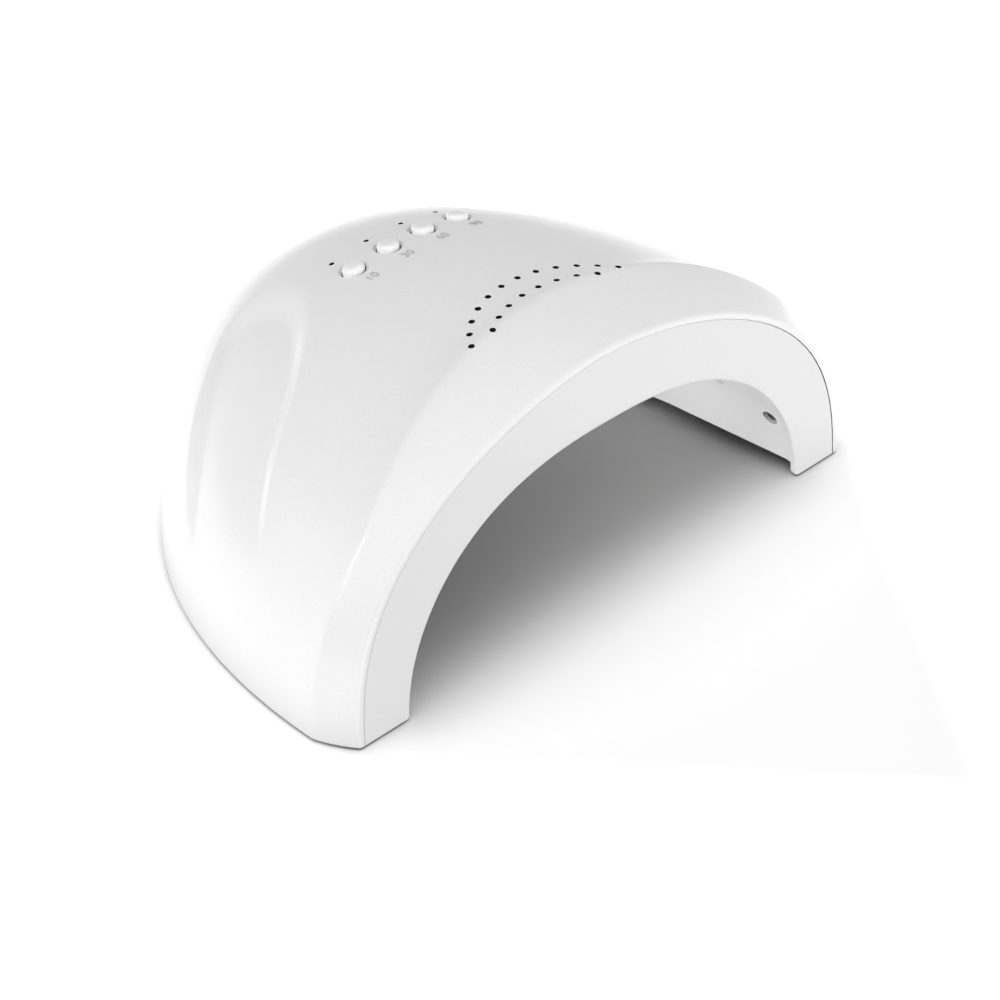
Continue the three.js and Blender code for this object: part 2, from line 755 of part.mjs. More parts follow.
// The outer cover: the hood's shell with bosses, button holes, pinholes, air holes and the inlet hole
function makeCover() {
  const rows = bandRows + hoodRows;
  const shell = wallSolid(
    rows,
    hoodColumns,
    (r, turn) => coverPoint(r, turn, 0, 0),
    (r, turn) => coverPoint(r, turn, coverWall, coverRim),
  );
  const inner = coreSolid(rows, hoodColumns, (r, turn) => coverPoint(r, turn, coverWall / 2, coverWall / 2));
  let bosses = rod(caseBoss, bossFoot, hoodHeight, roundFacets, upright(...caseScrewPlaces[0]));
  for (const [x, y] of caseScrewPlaces.slice(1)) {
    bosses = bosses.add(rod(caseBoss, bossFoot, hoodHeight, roundFacets, upright(x, y)));
  }
  for (const [x, y] of controlBossPlaces) {
    bosses = bosses.add(rod(controlBoss, controlTop + seam, 0, roundFacets, shifted(panel, x, y, 0)));
  }
  let solid = shell.add(bosses.intersect(inner));
  for (const [x, y] of caseScrewPlaces) {
    const pilot = rod(screwBore, 0, bossFoot + casePilotDepth, smallFacets, upright(x, y));
    solid = solid.subtract(pilot);
  }
  for (const [x, y] of controlBossPlaces) {
    const axis = shifted(panel, x, y, 0);
    const pilot = rod(screwBore, controlTop, controlTop + boardScrewLength + seam, smallFacets, axis);
    solid = solid.subtract(pilot);
  }
  for (const x of buttonPlaces) {
    const drop = panelDrop(x, 0, 0);
    const low = drop - 2 * coverWall;
    const high = drop + overrun;
    const axis = shifted(panel, x, 0, 0);
    solid = solid.subtract(rod(buttonHole, low, high, roundFacets, axis));
    solid = solid.subtract(rod(buttonDish, drop - buttonDishDepth, high, roundFacets, axis));
    const pinholeAxis = shifted(panel, x, pinholeSetback, 0);
    solid = solid.subtract(rod(pinholeDiameter, low, high, holeFacets, pinholeAxis));
  }
  for (const [x, y] of ventPlaces()) {
    const low = mouthHeight + linerWall;
    const hole = rod(ventDiameter, low, hoodHeight + overrun, holeFacets, upright(x, y));
    solid = solid.subtract(hole);
  }
  return solid.subtract(rod(jackNose + 2 * seam, 0, jackNoseLength + overrun, roundFacets, jackFrame));
}

// The base frame: a horseshoe plate between tunnel and cover, with foot pockets and the inlet's cradle
function makeBaseFrame() {
  const outer = [];
  const inner = [];
  const footShare = frameFront / ridgeSetbackAtFoot;
  const faceHalf = faceWidth / 2 - coverRim;
  const ridgeHalf = hoodHalfWidth(ridgeSetbackAtFoot, coverWall);
  outer.push([faceHalf + (ridgeHalf - faceHalf) * footShare - baseClearance, frameFront]);
  inner.push([tunnelWidth / 2 + linerWall + baseClearance, frameFront]);
  const depth = hoodDepth - coverWall - baseClearance;
  const halfWidth = hoodWidth / 2 - coverWall - baseClearance;
  const start = Math.asin((ridgeSetbackAtFoot / depth) ** (hoodPlanPower / 2));
  for (let i = 0; i < hoodRows; i += 1) {
    const angle = start + (Math.PI / 2 - start) * i / hoodRows;
    const x = halfWidth * Math.cos(angle) ** (2 / hoodPlanPower);
    outer.push([x, depth * Math.sin(angle) ** (2 / hoodPlanPower)]);
  }
  const tunnelHalf = tunnelWidth / 2 + linerWall + baseClearance;
  const tunnelRun = tunnelDepth + linerWall + baseClearance - tunnelStraight;
  for (let i = 0; i < tunnelRows; i += 1) {
    const angle = Math.PI / 2 * i / tunnelRows;
    inner.push([tunnelHalf * Math.cos(angle), tunnelStraight + tunnelRun * Math.sin(angle)]);
  }
  const mirrored = (points) => points.map(([x, y]) => [-x, y]).reverse();
  const outerLine = [...outer, [0, depth], ...mirrored(outer)];
  const innerLine = [...inner, [0, tunnelStraight + tunnelRun], ...mirrored(inner)];
  let solid = plate([...outerLine, ...innerLine.reverse()], baseRecess, baseTop);
  const cradleWidth = jackBody + 2 * (seam + cradleWall);
  const cradleLow = baseTop - baseWall / 2;
  const seat = jackHeight - jackBody / 2 - seam;
  const cradleY = jackFaceY - jackLength / 2;
  const cradleRun = jackLength - 2 * cradleWall;
  const cradle = block(cradleWidth, cradleRun, seat + cradleHeight - cradleLow,
    new THREE.Matrix4().makeTranslation(0, cradleY, cradleLow));
  const slot = block(jackBody + 2 * seam, jackLength, cradleHeight + overrun,
    new THREE.Matrix4().makeTranslation(0, cradleY, seat));
  solid = solid.add(cradle.subtract(slot));
  for (const [x, y] of caseScrewPlaces) {
    const hole = rod(screwBore, 0, baseTop + overrun, smallFacets, upright(x, y));
    solid = solid.subtract(hole);
  }
  for (const [x, y] of footPlaces) {
    const top = baseRecess + footPocketDepth;
    const pocket = rod(footDiameter + 2 * seam, 0, top, roundFacets, upright(x, y));
    solid = solid.subtract(pocket);
  }
  return solid;
}

// A pan-head screw, its head's underside at the frame's origin and its shank along +z
function makeScrew(length, frame) {
  const head = screwHead / 2;
  const shank = screwShank / 2;
  const profile = [
    [0, -screwHeadHeight],
    [head * screwCrownShare, -screwHeadHeight],
    [head, -screwHeadHeight / 2],
    [head, 0],
    [shank, 0],
    [shank, length - shank],
    [0, length],
  ];
  return turned(profile, smallFacets, frame);
}

const controlUnder = controlTop - boardWall;
const headerSpots = {
  upper_left: [-1, -2],
  left: [-1, -1],
  emitter: [-1, 1],
  rear: [-1, 2],
  top: [1, -2],
  upper_right: [1, -1],
  right: [1, 1],
  receiver: [1, 2],
};

function headerPlace(name) {
  if (name === 'jack') return [0, 2 * headerPitch];
  const [side, step] = headerSpots[name];
  return [side * (controlWidth / 2 - headerInset), step * headerPitch];
}

// The control board with its lead sockets soldered underneath
function makeControlBoard() {
  let solid = block(controlWidth, controlLength, boardWall, shifted(panel, 0, 0, controlUnder));
  for (const name of [...Object.keys(headerSpots), 'jack']) {
    const [x, y] = headerPlace(name);
    const socket = block(headerWidth, headerDepth, headerHeight + boardWall / 2,
      shifted(panel, x, y, controlUnder - headerHeight));
    solid = solid.add(socket);
  }
  for (const [x, y] of controlBossPlaces) {
    const axis = shifted(panel, x, y, 0);
    const hole = rod(screwBore, controlUnder - overrun, controlTop + overrun, smallFacets, axis);
    solid = solid.subtract(hole);
  }
  return solid;
}

// One push button: switch on the board, its plunger, and the cap that shows
function addButton(number, x) {
  const frame = shifted(panel, x, 0, 0);
  const bodyLow = controlTop + seam;
  const bodyTop = bodyLow + switchHeight;
  const plungerLow = bodyTop - plungerSunk;
  const plungerTop = bodyTop + plungerHeight;
  const boreLow = plungerLow - buttonTravel - seam;
  const bore = rod(plungerDiameter + 2 * plungerClearance, boreLow, bodyTop + overrun, roundFacets, frame);
  const body = block(switchSide, switchSide, switchHeight, shifted(frame, 0, 0, bodyLow)).subtract(bore);
  const flangeRadius = buttonFlange / 2;
  const ceiling = Math.min(
    panelDrop(x - flangeRadius, 0, coverWall),
    panelDrop(x + flangeRadius, 0, coverWall),
    panelDrop(x, flangeRadius, coverWall),
    panelDrop(x, -flangeRadius, coverWall),
  );
  const flangeTop = ceiling - buttonFlangeDrop;
  const rim = panelDrop(x, 0, 0) + buttonProud;
  const radius = buttonDiameter / 2;
  const profile = [
    [0, plungerTop + seam],
    [buttonStem / 2, plungerTop + seam],
    [buttonStem / 2, flangeTop - buttonFlangeWall],
    [flangeRadius, flangeTop - buttonFlangeWall],
    [flangeRadius, flangeTop],
    [radius, flangeTop],
    [radius, rim],
    [radius * buttonShoulderShare, rim + buttonDome * buttonShoulderRiseShare],
    [0, rim + buttonDome],
  ];
  const plunger = rod(plungerDiameter, plungerLow, plungerTop, smallFacets, frame);
  addPiece('switch_' + number, 'black_resin', body);
  addPiece('switch_plunger_' + number, 'steel', plunger);
  addPiece('button_cap_' + number, 'button_white', turned(profile, roundFacets, frame));
}

// The small light under each pinhole, on its spacer
function makeLight(x) {
  const top = panelDrop(x, pinholeSetback, coverWall) - seam - lightHeadroom;
  const low = controlTop + seam;
  const radius = lightDiameter / 2;
  const profile = [
    [0, low],
    [lightFlange / 2, low],
    [lightFlange / 2, low + lightFlangeWall],
    [radius, low + lightFlangeWall],
    [radius, top - radius],
    [radius * lensShoulderShare, top - radius * (1 - lensShoulderShare)],
    [0, top],
  ];
  return turned(profile, smallFacets, shifted(panel, x, pinholeSetback, 0));
}

// One lamp board with its emitters soldered on the tunnel side
function makeLampBoard(board) {
  let solid = block(board.width, board.length, boardWall, board.frame);
  const radius = emitterDiameter / 2;
  for (const [x, y] of board.emitterSpots) {
    const profile = [
      [0, -emitterLength - emitterDome],
      [radius * lensShoulderShare, -emitterLength - emitterDome * lensShoulderShare],
      [radius, -emitterLength],
      [radius, boardWall / 2],
      [0, boardWall / 2],
    ];
    solid = solid.add(turned(profile, smallFacets, shifted(board.frame, x, y, 0)));
  }
  return solid;
}

// One half of the hand sensor in its socket, and the little board that closes the socket
function addSensor(name, finish, frame) {
  const radius = sensorDiameter / 2;
  const front = seam - linerWall;
  const profile = [
    [0, front],
    [radius * lensShoulderShare, front],
    [radius, front + radius * (1 - lensShoulderShare)],
    [radius, sensorSocketLength],
    [0, sensorSocketLength],
  ];
  addPiece('ir_' + name, finish, turned(profile, roundFacets, frame));
  const board = block(sensorBoardSide, sensorBoardSide, sensorBoardWall,
    shifted(frame, 0, 0, sensorSocketLength + seam));
  addPiece(name + '_board', 'circuit_green', board);
}

// The power inlet: body, nose, bore and centre pin
function makeJack() {
  const body = block(jackBody, jackBody, jackLength, shifted(jackFrame, 0, 0, -jackLength));
  const nose = rod(jackNose, -jackClearance, jackNoseLength, roundFacets, jackFrame);
  const boreLow = jackNoseLength - jackBoreDepth;
  const bore = rod(jackBore, boreLow, jackNoseLength + overrun, roundFacets, jackFrame);
  const pin = rod(jackPin, boreLow - jackPinSetIn, jackNoseLength - jackPinSetIn, smallFacets, jackFrame);
  return body.add(nose).subtract(bore).add(pin);
}

// The two ends of a lead: under its socket on the control board, and over the board it feeds
function socketEnd(name, shift) {
  const [x, y] = headerPlace(name);
  const low = controlUnder - headerHeight - seam;
  return [0, -leadStraight].map((drop) => new THREE.Vector3(x + shift, y, low + drop).applyMatrix4(panel));
}

function boardEnd(frame, x, y, height) {
  return [leadStraight, 0].map((lift) => new THREE.Vector3(x, y, height + seam + lift).applyMatrix4(frame));
}

function addLead(name, finish, diameter, points) {
  addPiece(name, finish, lead(diameter, points, leadSteps));
}

// Where each lead runs inside: the turn round the tunnel, then shares of the tunnel's depth and of the room
// between tunnel and cover
const leadRouteShares = {
  left: [[-0.5, 0.68, 0.5], [-0.62, 0.64, 0.5]],
  right: [[0.5, 0.68, 0.5], [0.62, 0.64, 0.5]],
  upper_left: [[-0.42, 0.6, 0.45]],
  upper_right: [[0.42, 0.6, 0.45]],
  top: [],
  rear: [[-0.4, 0.88, 0.4]],
};
const sensorRouteShares = [
  [0.62, 0.78, 0.5],
  [0.84, 0.68, 0.25],
  [0.86, 0.44, 0.2],
  [0.86, 0.26, 0.3],
];

function addLampLeads() {
  for (const board of lampBoards) {
    const key = board.name.replace('_led_board', '');
    const wide = board.width > board.length;
    const x = wide ? -board.width * leadEndShare : board.width * leadSideShare;
    const y = wide ? 0 : board.length * leadEndShare;
    const route = leadRouteShares[key].map((shares) => between(...shares));
    const points = [...socketEnd(key, 0), ...route, ...boardEnd(board.frame, x, y, boardWall)];
    addLead(key + '_led_lead', 'white_wire', leadDiameter, points);
  }
}

function addSensorLeads() {
  const height = sensorSocketLength + seam + sensorBoardWall;
  for (const [name, side] of [['emitter', -1], ['receiver', 1]]) {
    const route = sensorRouteShares.map(([turn, depth, room]) => between(side * turn, depth, room));
    const points = [...socketEnd(name, 0), ...route, ...boardEnd(sensorFrames[name], 0, 0, height)];
    addLead(name + '_lead', 'black_wire', wireDiameter, points);
  }
}

// The inlet wires climb behind the tunnel: shares of the rise above the inlet, and of the room to the cover
const inletRouteShares = [
  [0.5, 0.6],
  [0.85, 0.5],
];

function addJackWires() {
  const rise = mouthHeight - jackTop;
  for (const [name, side] of [['red_wire', -1], ['black_wire', 1]]) {
    const x = side * jackWireSpread / 4;
    const start = new THREE.Vector3(x, jackFaceY - jackLength + jackWireSpread / 2, jackTop + seam);
    const climb = inletRouteShares.map(([riseShare, roomShare]) => {
      const height = jackTop + rise * riseShare;
      const low = tunnelBackAt(height);
      return new THREE.Vector3(x, low + (hoodBackAt(0, height, coverWall) - low) * roomShare, height);
    });
    const leave = start.clone().add(new THREE.Vector3(0, 0, leadStraight));
    const points = [start, leave, ...climb, ...socketEnd('jack', x).reverse()];
    addLead('inlet_' + name, name, wireDiameter, points);
  }
}

addPiece('outer_cover', 'gloss_white', makeCover());
addPiece('inner_liner', 'liner_white', makeLiner());
addPiece('base_frame', 'base_grey', makeBaseFrame());
footPlaces.forEach(([x, y], i) => {
  const foot = rod(footDiameter, 0, baseRecess + footPocketDepth - seam, roundFacets, upright(x, y));
  addPiece('rubber_foot_' + (i + 1), 'soft_rubber', foot);
});
caseScrewPlaces.forEach(([x, y], i) => {
  const frame = new THREE.Matrix4().makeTranslation(x, y, baseRecess - seam);
  addPiece('case_screw_' + (i + 1), 'steel', makeScrew(caseScrewLength, frame));
});
addPiece('control_board', 'circuit_green', makeControlBoard());
controlBossPlaces.forEach(([x, y], i) => {
  const frame = shifted(panel, x, y, controlUnder - seam);
  addPiece('board_screw_' + (i + 1), 'steel', makeScrew(boardScrewLength, frame));
});
buttonPlaces.forEach((x, i) => addButton(i + 1, x));
buttonPlaces.forEach((x, i) => addPiece('indicator_light_' + (i + 1), 'clear_resin', makeLight(x)));
const chipY = -controlLength / 2 + chipWidth;
const chipFrame = shifted(panel, 0, chipY, controlTop + seam);
addPiece('controller_chip', 'black_resin', block(chipLength, chipWidth, chipHeight, chipFrame));
const capacitorFrame = shifted(panel, headerWidth, 0, controlUnder - seam - capacitorDiameter / 2);
capacitorFrame.multiply(new THREE.Matrix4().makeRotationY(Math.PI / 2));
const capacitor = rod(capacitorDiameter, 0, capacitorLength, roundFacets, capacitorFrame);
addPiece('capacitor', 'capacitor_sleeve', capacitor);
lampBoards.forEach((board) => addPiece(board.name, 'circuit_white', makeLampBoard(board)));
addSensor('emitter', 'clear_resin', sensorFrames.emitter);
addSensor('receiver', 'black_resin', sensorFrames.receiver);
addPiece('power_inlet', 'black_resin', makeJack());
addLampLeads();
addSensorLeads();
addJackWires();

lamp.position.set(0, -hoodDepth / 2, 0);
export default lamp;
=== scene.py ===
import json

import bpy
import bmesh
import numpy as np
from mathutils import Matrix, Vector


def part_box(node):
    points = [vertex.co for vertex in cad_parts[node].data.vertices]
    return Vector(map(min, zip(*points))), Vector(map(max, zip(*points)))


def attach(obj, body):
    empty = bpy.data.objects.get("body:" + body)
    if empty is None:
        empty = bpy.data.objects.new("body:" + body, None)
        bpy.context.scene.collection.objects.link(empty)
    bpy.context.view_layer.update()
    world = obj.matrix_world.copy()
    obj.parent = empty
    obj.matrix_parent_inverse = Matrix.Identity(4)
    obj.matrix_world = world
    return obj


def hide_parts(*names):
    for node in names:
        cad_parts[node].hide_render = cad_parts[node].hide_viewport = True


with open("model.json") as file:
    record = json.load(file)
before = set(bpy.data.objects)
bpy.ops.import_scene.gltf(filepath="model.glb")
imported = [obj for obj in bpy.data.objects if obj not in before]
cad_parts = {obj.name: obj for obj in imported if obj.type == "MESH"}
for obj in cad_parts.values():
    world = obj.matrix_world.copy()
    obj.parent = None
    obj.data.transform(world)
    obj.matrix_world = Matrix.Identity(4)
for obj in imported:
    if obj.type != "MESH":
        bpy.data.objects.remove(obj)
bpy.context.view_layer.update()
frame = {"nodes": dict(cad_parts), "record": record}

# A nail lamp in glossy white plastic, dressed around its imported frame.
# Sizes are millimetres, with y counted from the front of the feet. to_frame makes them the frame's metres.
MM = 0.001

# The camera: its place in metres, the way back from what it looks at, and its lens and sensor in millimetres
CAMERA_PLACE = (-0.58045, -0.57120, 0.53166)
CAMERA_BACK = (-0.6108, -0.5717, 0.5477)
CAMERA_LENS, CAMERA_SENSOR = 123.7, 36

# The light, in metres: each lamp's place, its size, its level, whether gloss shows it, and what it lights.
# The tunnel's lamp has its own aim and a beam so many degrees wide. Then the level of the room's light.
LAMP_AIM = (0, 0, 0.03)
LAMPS = (
    ("left_lamp", (-1.30, 0.12, 0.95), 0.9, 0.75, False, "pieces"),
    ("front_lamp", (0.50, -1.35, 0.55), 1.0, 0.72, False, "pieces"),
    ("back_left_lamp", (-1.30, 0.95, 0.45), 1.0, 0.05, True, "pieces"),
    ("floor_lamp", (-0.18, -0.18, 1.40), 1.7, 1.50, False, "floor"),
)
TUNNEL_LAMP_PLACE, TUNNEL_LAMP_AIM = (-0.06, -0.050, 0.014), (0.07, -0.03, 0.022)
TUNNEL_LAMP_SIZE, TUNNEL_LAMP_LEVEL, TUNNEL_LAMP_BEAM = 0.02, 0.14, 80
ROOM_LEVEL = 0.13

# The floor: its half width in metres, its grey as seen, its grey of painted shade under the hood and its grey
# for the light that it throws back, the depths in millimetres over which the painted shade grows, and the
# shares of the hood's outline over which painted shade and glow grow. In front of the mouth the share gains
# GLOW_RUN for each metre.
FLOOR_SIZE = 4.0
FLOOR_GREY, PAINTED_SHADE_GREY, BOUNCE_GREY = 0.85, 0.42, 0.42
PAINTED_SHADE_DEPTHS = (-18, 25)
PAINTED_SHADE_FADE, GLOW_FADE = (0.95, 0.80), (0.92, 1.22)
GLOW_RUN = 8
GLOW_LEVEL = 0.66

# The hood, its flat front face and the mouth
HOOD_WIDTH = 205.6
HOOD_DEPTH = 140.2
HOOD_HEIGHT = 82.0
FACE_SIDE_INSET, FACE_TOP_INSET = 5.8, 6.7
FACE_WIDTH = HOOD_WIDTH - 2 * FACE_SIDE_INSET
FACE_HEIGHT = HOOD_HEIGHT - FACE_TOP_INSET
MOUTH_SIDE_INSET, MOUTH_TOP_INSET = 18.4, 21.9
MOUTH_WIDTH = FACE_WIDTH - 2 * MOUTH_SIDE_INSET
MOUTH_HEIGHT = FACE_HEIGHT - MOUTH_TOP_INSET
FACE_LEAN = np.radians(3.1)
FACE_RAKE = np.tan(FACE_LEAN)
FLOOR_GAP = 0.8

# The ridge behind the front band, and the start of the crown's fall
RIDGE_AT_FOOT = 11.8
RIDGE_AT_TOP = 27.1
RIDGE_RISE = 0.45
RIDGE_FADE = 20.0
RIDGE_DIP, RIDGE_DIP_SETBACK = 0.45, 7.0
RIDGE_SHOULDER_SHARE = 0.8
RIDGE_SHOULDER = RIDGE_SHOULDER_SHARE * HOOD_WIDTH / 2
RIDGE_EASE_ROWS, RIDGE_EASE_PASSES = 2, 1
BAND_SWELL = 0.5
CROWN_START_SHARE = 0.3488
CROWN_START = CROWN_START_SHARE * HOOD_DEPTH

# Roundness of each outline: 2 is an ellipse, more is squarer and less is more pointed
HOOD_PLAN, HOOD_CROWN, HOOD_SIDE, HOOD_TOP = 2.044, 2.696, 2.095, 2.259
FACE_SIDE, FACE_TOP = 1.756, 2.541
MOUTH_SIDE, MOUTH_TOP = 2.53, 1.93
TUNNEL_PLAN, TUNNEL_CROWN = 2.0, 2.5

# The tunnel behind the mouth: it opens by the lip on each side within the flare's depth, runs straight for a
# share of its depth and ends before the hood's back
MOUTH_LIP, MOUTH_FLARE = 1.3, 5.0
TUNNEL_BACK_SPACE = 26.2
TUNNEL_STRAIGHT_SHARE = 0.421
TUNNEL_WIDTH = MOUTH_WIDTH + 2 * MOUTH_LIP
TUNNEL_DEPTH = HOOD_DEPTH - TUNNEL_BACK_SPACE
TUNNEL_STRAIGHT = TUNNEL_STRAIGHT_SHARE * TUNNEL_DEPTH

# Walls, seams and edges, and how far a cutting body goes past what it cuts
COVER_WALL, COVER_RIM = 2.2, 1.6
LINER_WALL, FLANGE_WALL = 2.0, 2.4
SEAM, FACE_SEAM = 0.3, 0.08
BASE_RECESS, BASE_WALL, BASE_CLEARANCE = 3.9, 2.4, 0.6
BASE_TOP = BASE_RECESS + BASE_WALL
FLANGE_BACK = FLANGE_WALL + BASE_TOP * FACE_RAKE
COVER_EDGE, LINER_EDGE, MOUTH_EDGE = 0.9, 0.7, 1.0
FOOT_EDGE, FOOT_EDGE_FADE = 0.4, 10
REACH = 3.0

# The scooped panel on each side, seen from the side: along its leaning axis, and across it towards the front
SCOOP_DEPTH = 3.0
SCOOP_LEAN = np.radians(55.7)
SCOOP_SETBACK_SHARE, SCOOP_START_HEIGHT, SCOOP_TOP_DROP = 0.4458, 33.0, 9
SCOOP_SETBACK = SCOOP_SETBACK_SHARE * HOOD_DEPTH
SCOOP_TOP = (HOOD_HEIGHT - SCOOP_TOP_DROP - SCOOP_START_HEIGHT) / np.sin(SCOOP_LEAN)
SCOOP_FRONT_ROUND, SCOOP_BACK_ROUND = 28.4, 6.5
SCOOP_MIDDLE = -9.0
SCOOP_FRONT_EDGE, SCOOP_BACK_EDGE = 4.6, 6.5
SCOOP_FADE_START, SCOOP_FADE_LENGTH = 14.0, 40.0

# Air holes, buttons with the control board under them, pinholes and printed numbers
VENT_WIDTH, VENT_RISE, VENT_SETBACK = 66.0, 26.7, 12.2
VENT_PITCH, VENT_ANGLE, VENT_PAIRS = 7.5, np.radians(10.9), (6, 4)
VENT_HOLE = 1.8
HOLE_TILT = 0.3
BUTTONS = 4
BUTTON_SETBACK_SHARE = 0.552
BUTTON_PITCH, BUTTON_SETBACK = 13.4, BUTTON_SETBACK_SHARE * HOOD_DEPTH
BUTTON_WIDTH, BUTTON_HOLE = 6.2, 7.0
BUTTON_DISH, BUTTON_DISH_DEPTH, BUTTON_DISH_EASE = 8.2, 0.4, 0.25
BUTTON_PROUD, BUTTON_DOME, BUTTON_SHOULDER, BUTTON_DOME_POWER = 0.8, 0.7, 0.5, 0.55
BUTTON_FLANGE, BUTTON_FLANGE_WALL, BUTTON_FLANGE_DROP, BUTTON_STEM = 8.6, 1.0, 0.6, 3.2
CONTROL_DROP, SWITCH_WIDTH, SWITCH_TOP, PLUNGER_RISE = 13.0, 6.0, 3.9, 1.3
PINHOLE, PINHOLE_SETBACK = 1.5, 8.5
PRINT_SETBACK, PRINT_HEIGHT, PRINT_LIFT = 7.6, 2.8, 0.03
PRINT_WORDS = ("10", "30", "60", "99")

# Lamp boards, their emitters, and the hand sensor
BOARD_WALL, BOARD_WIDTH, TOP_BOARD_WIDTH, REAR_BOARD_WIDTH = 1.6, 14.0, 40.0, 44.0
LAMP_START_SHARE, LAMP_END_SHARE, REAR_HEIGHT_SHARE = 0.1754, 0.5789, 0.5056
LAMP_ROW = (LAMP_START_SHARE * TUNNEL_DEPTH, LAMP_END_SHARE * TUNNEL_DEPTH)
SIDE_TURN, UPPER_TURN, REAR_HEIGHT = 0.674, 0.4135, REAR_HEIGHT_SHARE * MOUTH_HEIGHT
STANDOFF, BOARD_EDGE = 1.2, 0.2
EMITTER_WIDTH, EMITTER_LENGTH, EMITTER_DOME, EMITTER_HOLE = 4.0, 2.2, 0.9, 5.0
EMITTER_RIM, EMITTER_RIM_WALL, EMITTER_RIM_EASE, EMITTER_LIFT = 0.3, 0.6, 0.1, 0.03
EMITTER_EDGE, SIDE_PITCH, UPPER_PITCH, TOP_SPREAD = 4.6, 9.0, 11.0, 26.0
SENSOR_WIDTH, SENSOR_HOLE, SENSOR_SETBACK, SENSOR_HEIGHT = 4.4, 5.0, 8.5, 18.6
SENSOR_LENGTH, SENSOR_DOME_SHARE, SENSOR_SOCKET = 4.0, 0.6, 8.0

# Underside: screws, feet with a dimple in the tread (radius and depth from the middle out), plate and bosses,
# then the inlet in the back. A boss or an ear bites a share of the wall that it grows from.
CASE_SCREW_COUNT, FOOT_COUNT = 6, 4
SCREW_HEAD, SCREW_HEAD_HEIGHT, SCREW_SHANK, SCREW_LENGTH = 5.2, 1.8, 2.6, 12.0
SCREW_BORE, SCREW_POINT = 3.2, 1.3
PAN_SHARE = 0.7
CROSS_LENGTH, CROSS_WIDTH, CROSS_DEPTH = 3.2, 0.8, 1.1
THREAD_PITCH, THREAD_DEPTH, THREAD_SHARES = 1.0, 0.35, (0.15, 0.5, 0.85)
FOOT_WIDTH, FOOT_POCKET, TREAD_EDGE = 9.0, 1.0, 0.7
TREAD_DIMPLE = ((0, 0.5), (1.6, 0.45), (2.2, 0.1), (2.5, 0.0))
FRAME_BEND, FRAME_COLUMNS, FRAME_EDGE = 0.55, 120, 0.35
FRAME_FRONT = FLANGE_BACK + BASE_CLEARANCE
CASE_BOSS, CASE_PILOT, EAR_WALL, EAR_WIDTH = 7.0, 14.0, 2.0, 9.0
BOSS_FOOT = BASE_TOP + EAR_WALL + 2 * SEAM
BOSS_BITE, EAR_BITE = 0.3, 0.7
BOARD_BOSS, BOARD_BOSS_GAP, BOARD_PILOT = 6.0, 4.4, 6.3
BOARD_BOSS_SPAN = (BUTTONS - 1) * BUTTON_PITCH + SWITCH_WIDTH + 2 * BOARD_BOSS_GAP + BOARD_BOSS
LAMP_BOSS, LAMP_BOSS_INSET = 4.4, 2.6
CRADLE_WALL, CRADLE_HEIGHT = 1.8, 5.0
JACK_BODY, JACK_LENGTH, JACK_NOSE, JACK_BORE, JACK_BORE_DEPTH = 10.4, 14.0, 7.6, 5.6, 9.5
JACK_PIN, JACK_PIN_SET_IN, JACK_CLEARANCE, JACK_EDGE = 2.0, 1.0, 0.8, 0.3

# Finishes, with sizes and depths in millimetres: how dark a speck is, the roughness' drift in grains and as a
# share, then the cover's pearl: metal, coat, roughness and its ripple, and the tracks of a circuit
SPECK_TONE, DRIFT_SIZE, DRIFT_SHARE = 0.9, 9, 0.4
# The last colour on the next line is painted shade for the walls of the air holes and pinholes.
PEARL_LIGHT, PEARL_DARK, HOLE_PAINTED_SHADE = (0.89, 0.89, 0.895), (0.79, 0.79, 0.80), (0.012, 0.012, 0.012)
PEARL_FLAKE, PEARL_CLOUD, FLAKE_SHARE, CLOUD_SHARE = 0.6, 22.0, 0.7, 0.2
COVER_METAL, COVER_COAT, COVER_ROUGHNESS = 0.15, 0.4, 0.3
RIPPLE_SIZE, RIPPLE_SHARE, HOLE_ROUGHNESS, PEARL_RELIEF = 9.0, 0.08, 0.5, 0.002
TRACKS_PER_METRE, TRACK_SHARE, TRACK_RELIEF = 260.0, 0.6, 0.02

# Fineness: cells of the coarse hidden side of a wall, how much finer the side that shows is, facets of round
# bodies, steps of rounded edges and domes, and the steps by which an ear and a boss look for the tunnel
FINER = 6
COVER_CELLS = {"band": 3, "hood": 33, "round": 57}
LINER_CELLS = {"face": 2, "tunnel": 20, "round": 50}
ROUND_FACETS, HOLE_FACETS = 64, 24
EDGE_STEPS, BEVEL_STEPS = 4, 2
CAP_STEPS, TREAD_STEPS, SCREW_STEPS, LENS_STEPS, SENSOR_STEPS = 12, 6, 8, 8, 10
PRINT_STEPS = 6
EAR_STEPS, BOSS_HALVINGS = 400, 30

# The least width and length that are divided by, in millimetres, the gap in metres that is welded shut, and
# the angle from which an edge is sharp
LEAST_WIDTH, LEAST_LENGTH = 1e-6, 1e-9
WELD = 1e-7
SHARP_ANGLE = np.radians(35)


def to_frame(points):
    """Millimetres from the front of the feet as metres of the frame: y less half the depth, all times MM."""
    return (np.asarray(points, float) - [0, HOOD_DEPTH / 2, 0]) * MM


def unit(vectors):
    """Each vector divided by its own length."""
    return vectors / np.maximum(np.linalg.norm(vectors, axis=-1, keepdims=True), LEAST_LENGTH)


def smooth(value, low, high):
    """0 below low, 1 above high, and 3t^2 - 2t^3 between them."""
    t = np.clip((value - low) / (high - low), 0, 1)
    return t * t * (3 - 2 * t)


def falloff(share, power):
    """Height of a superellipse quarter over a share of its width: (1 - share^power)^(1/power)."""
    return (1 - np.clip(share, 0, 1) ** power) ** (1 / power)


def points_of(*coordinates):
    """Coordinates side by side as points."""
    return np.stack(np.broadcast_arrays(*coordinates), axis=-1)


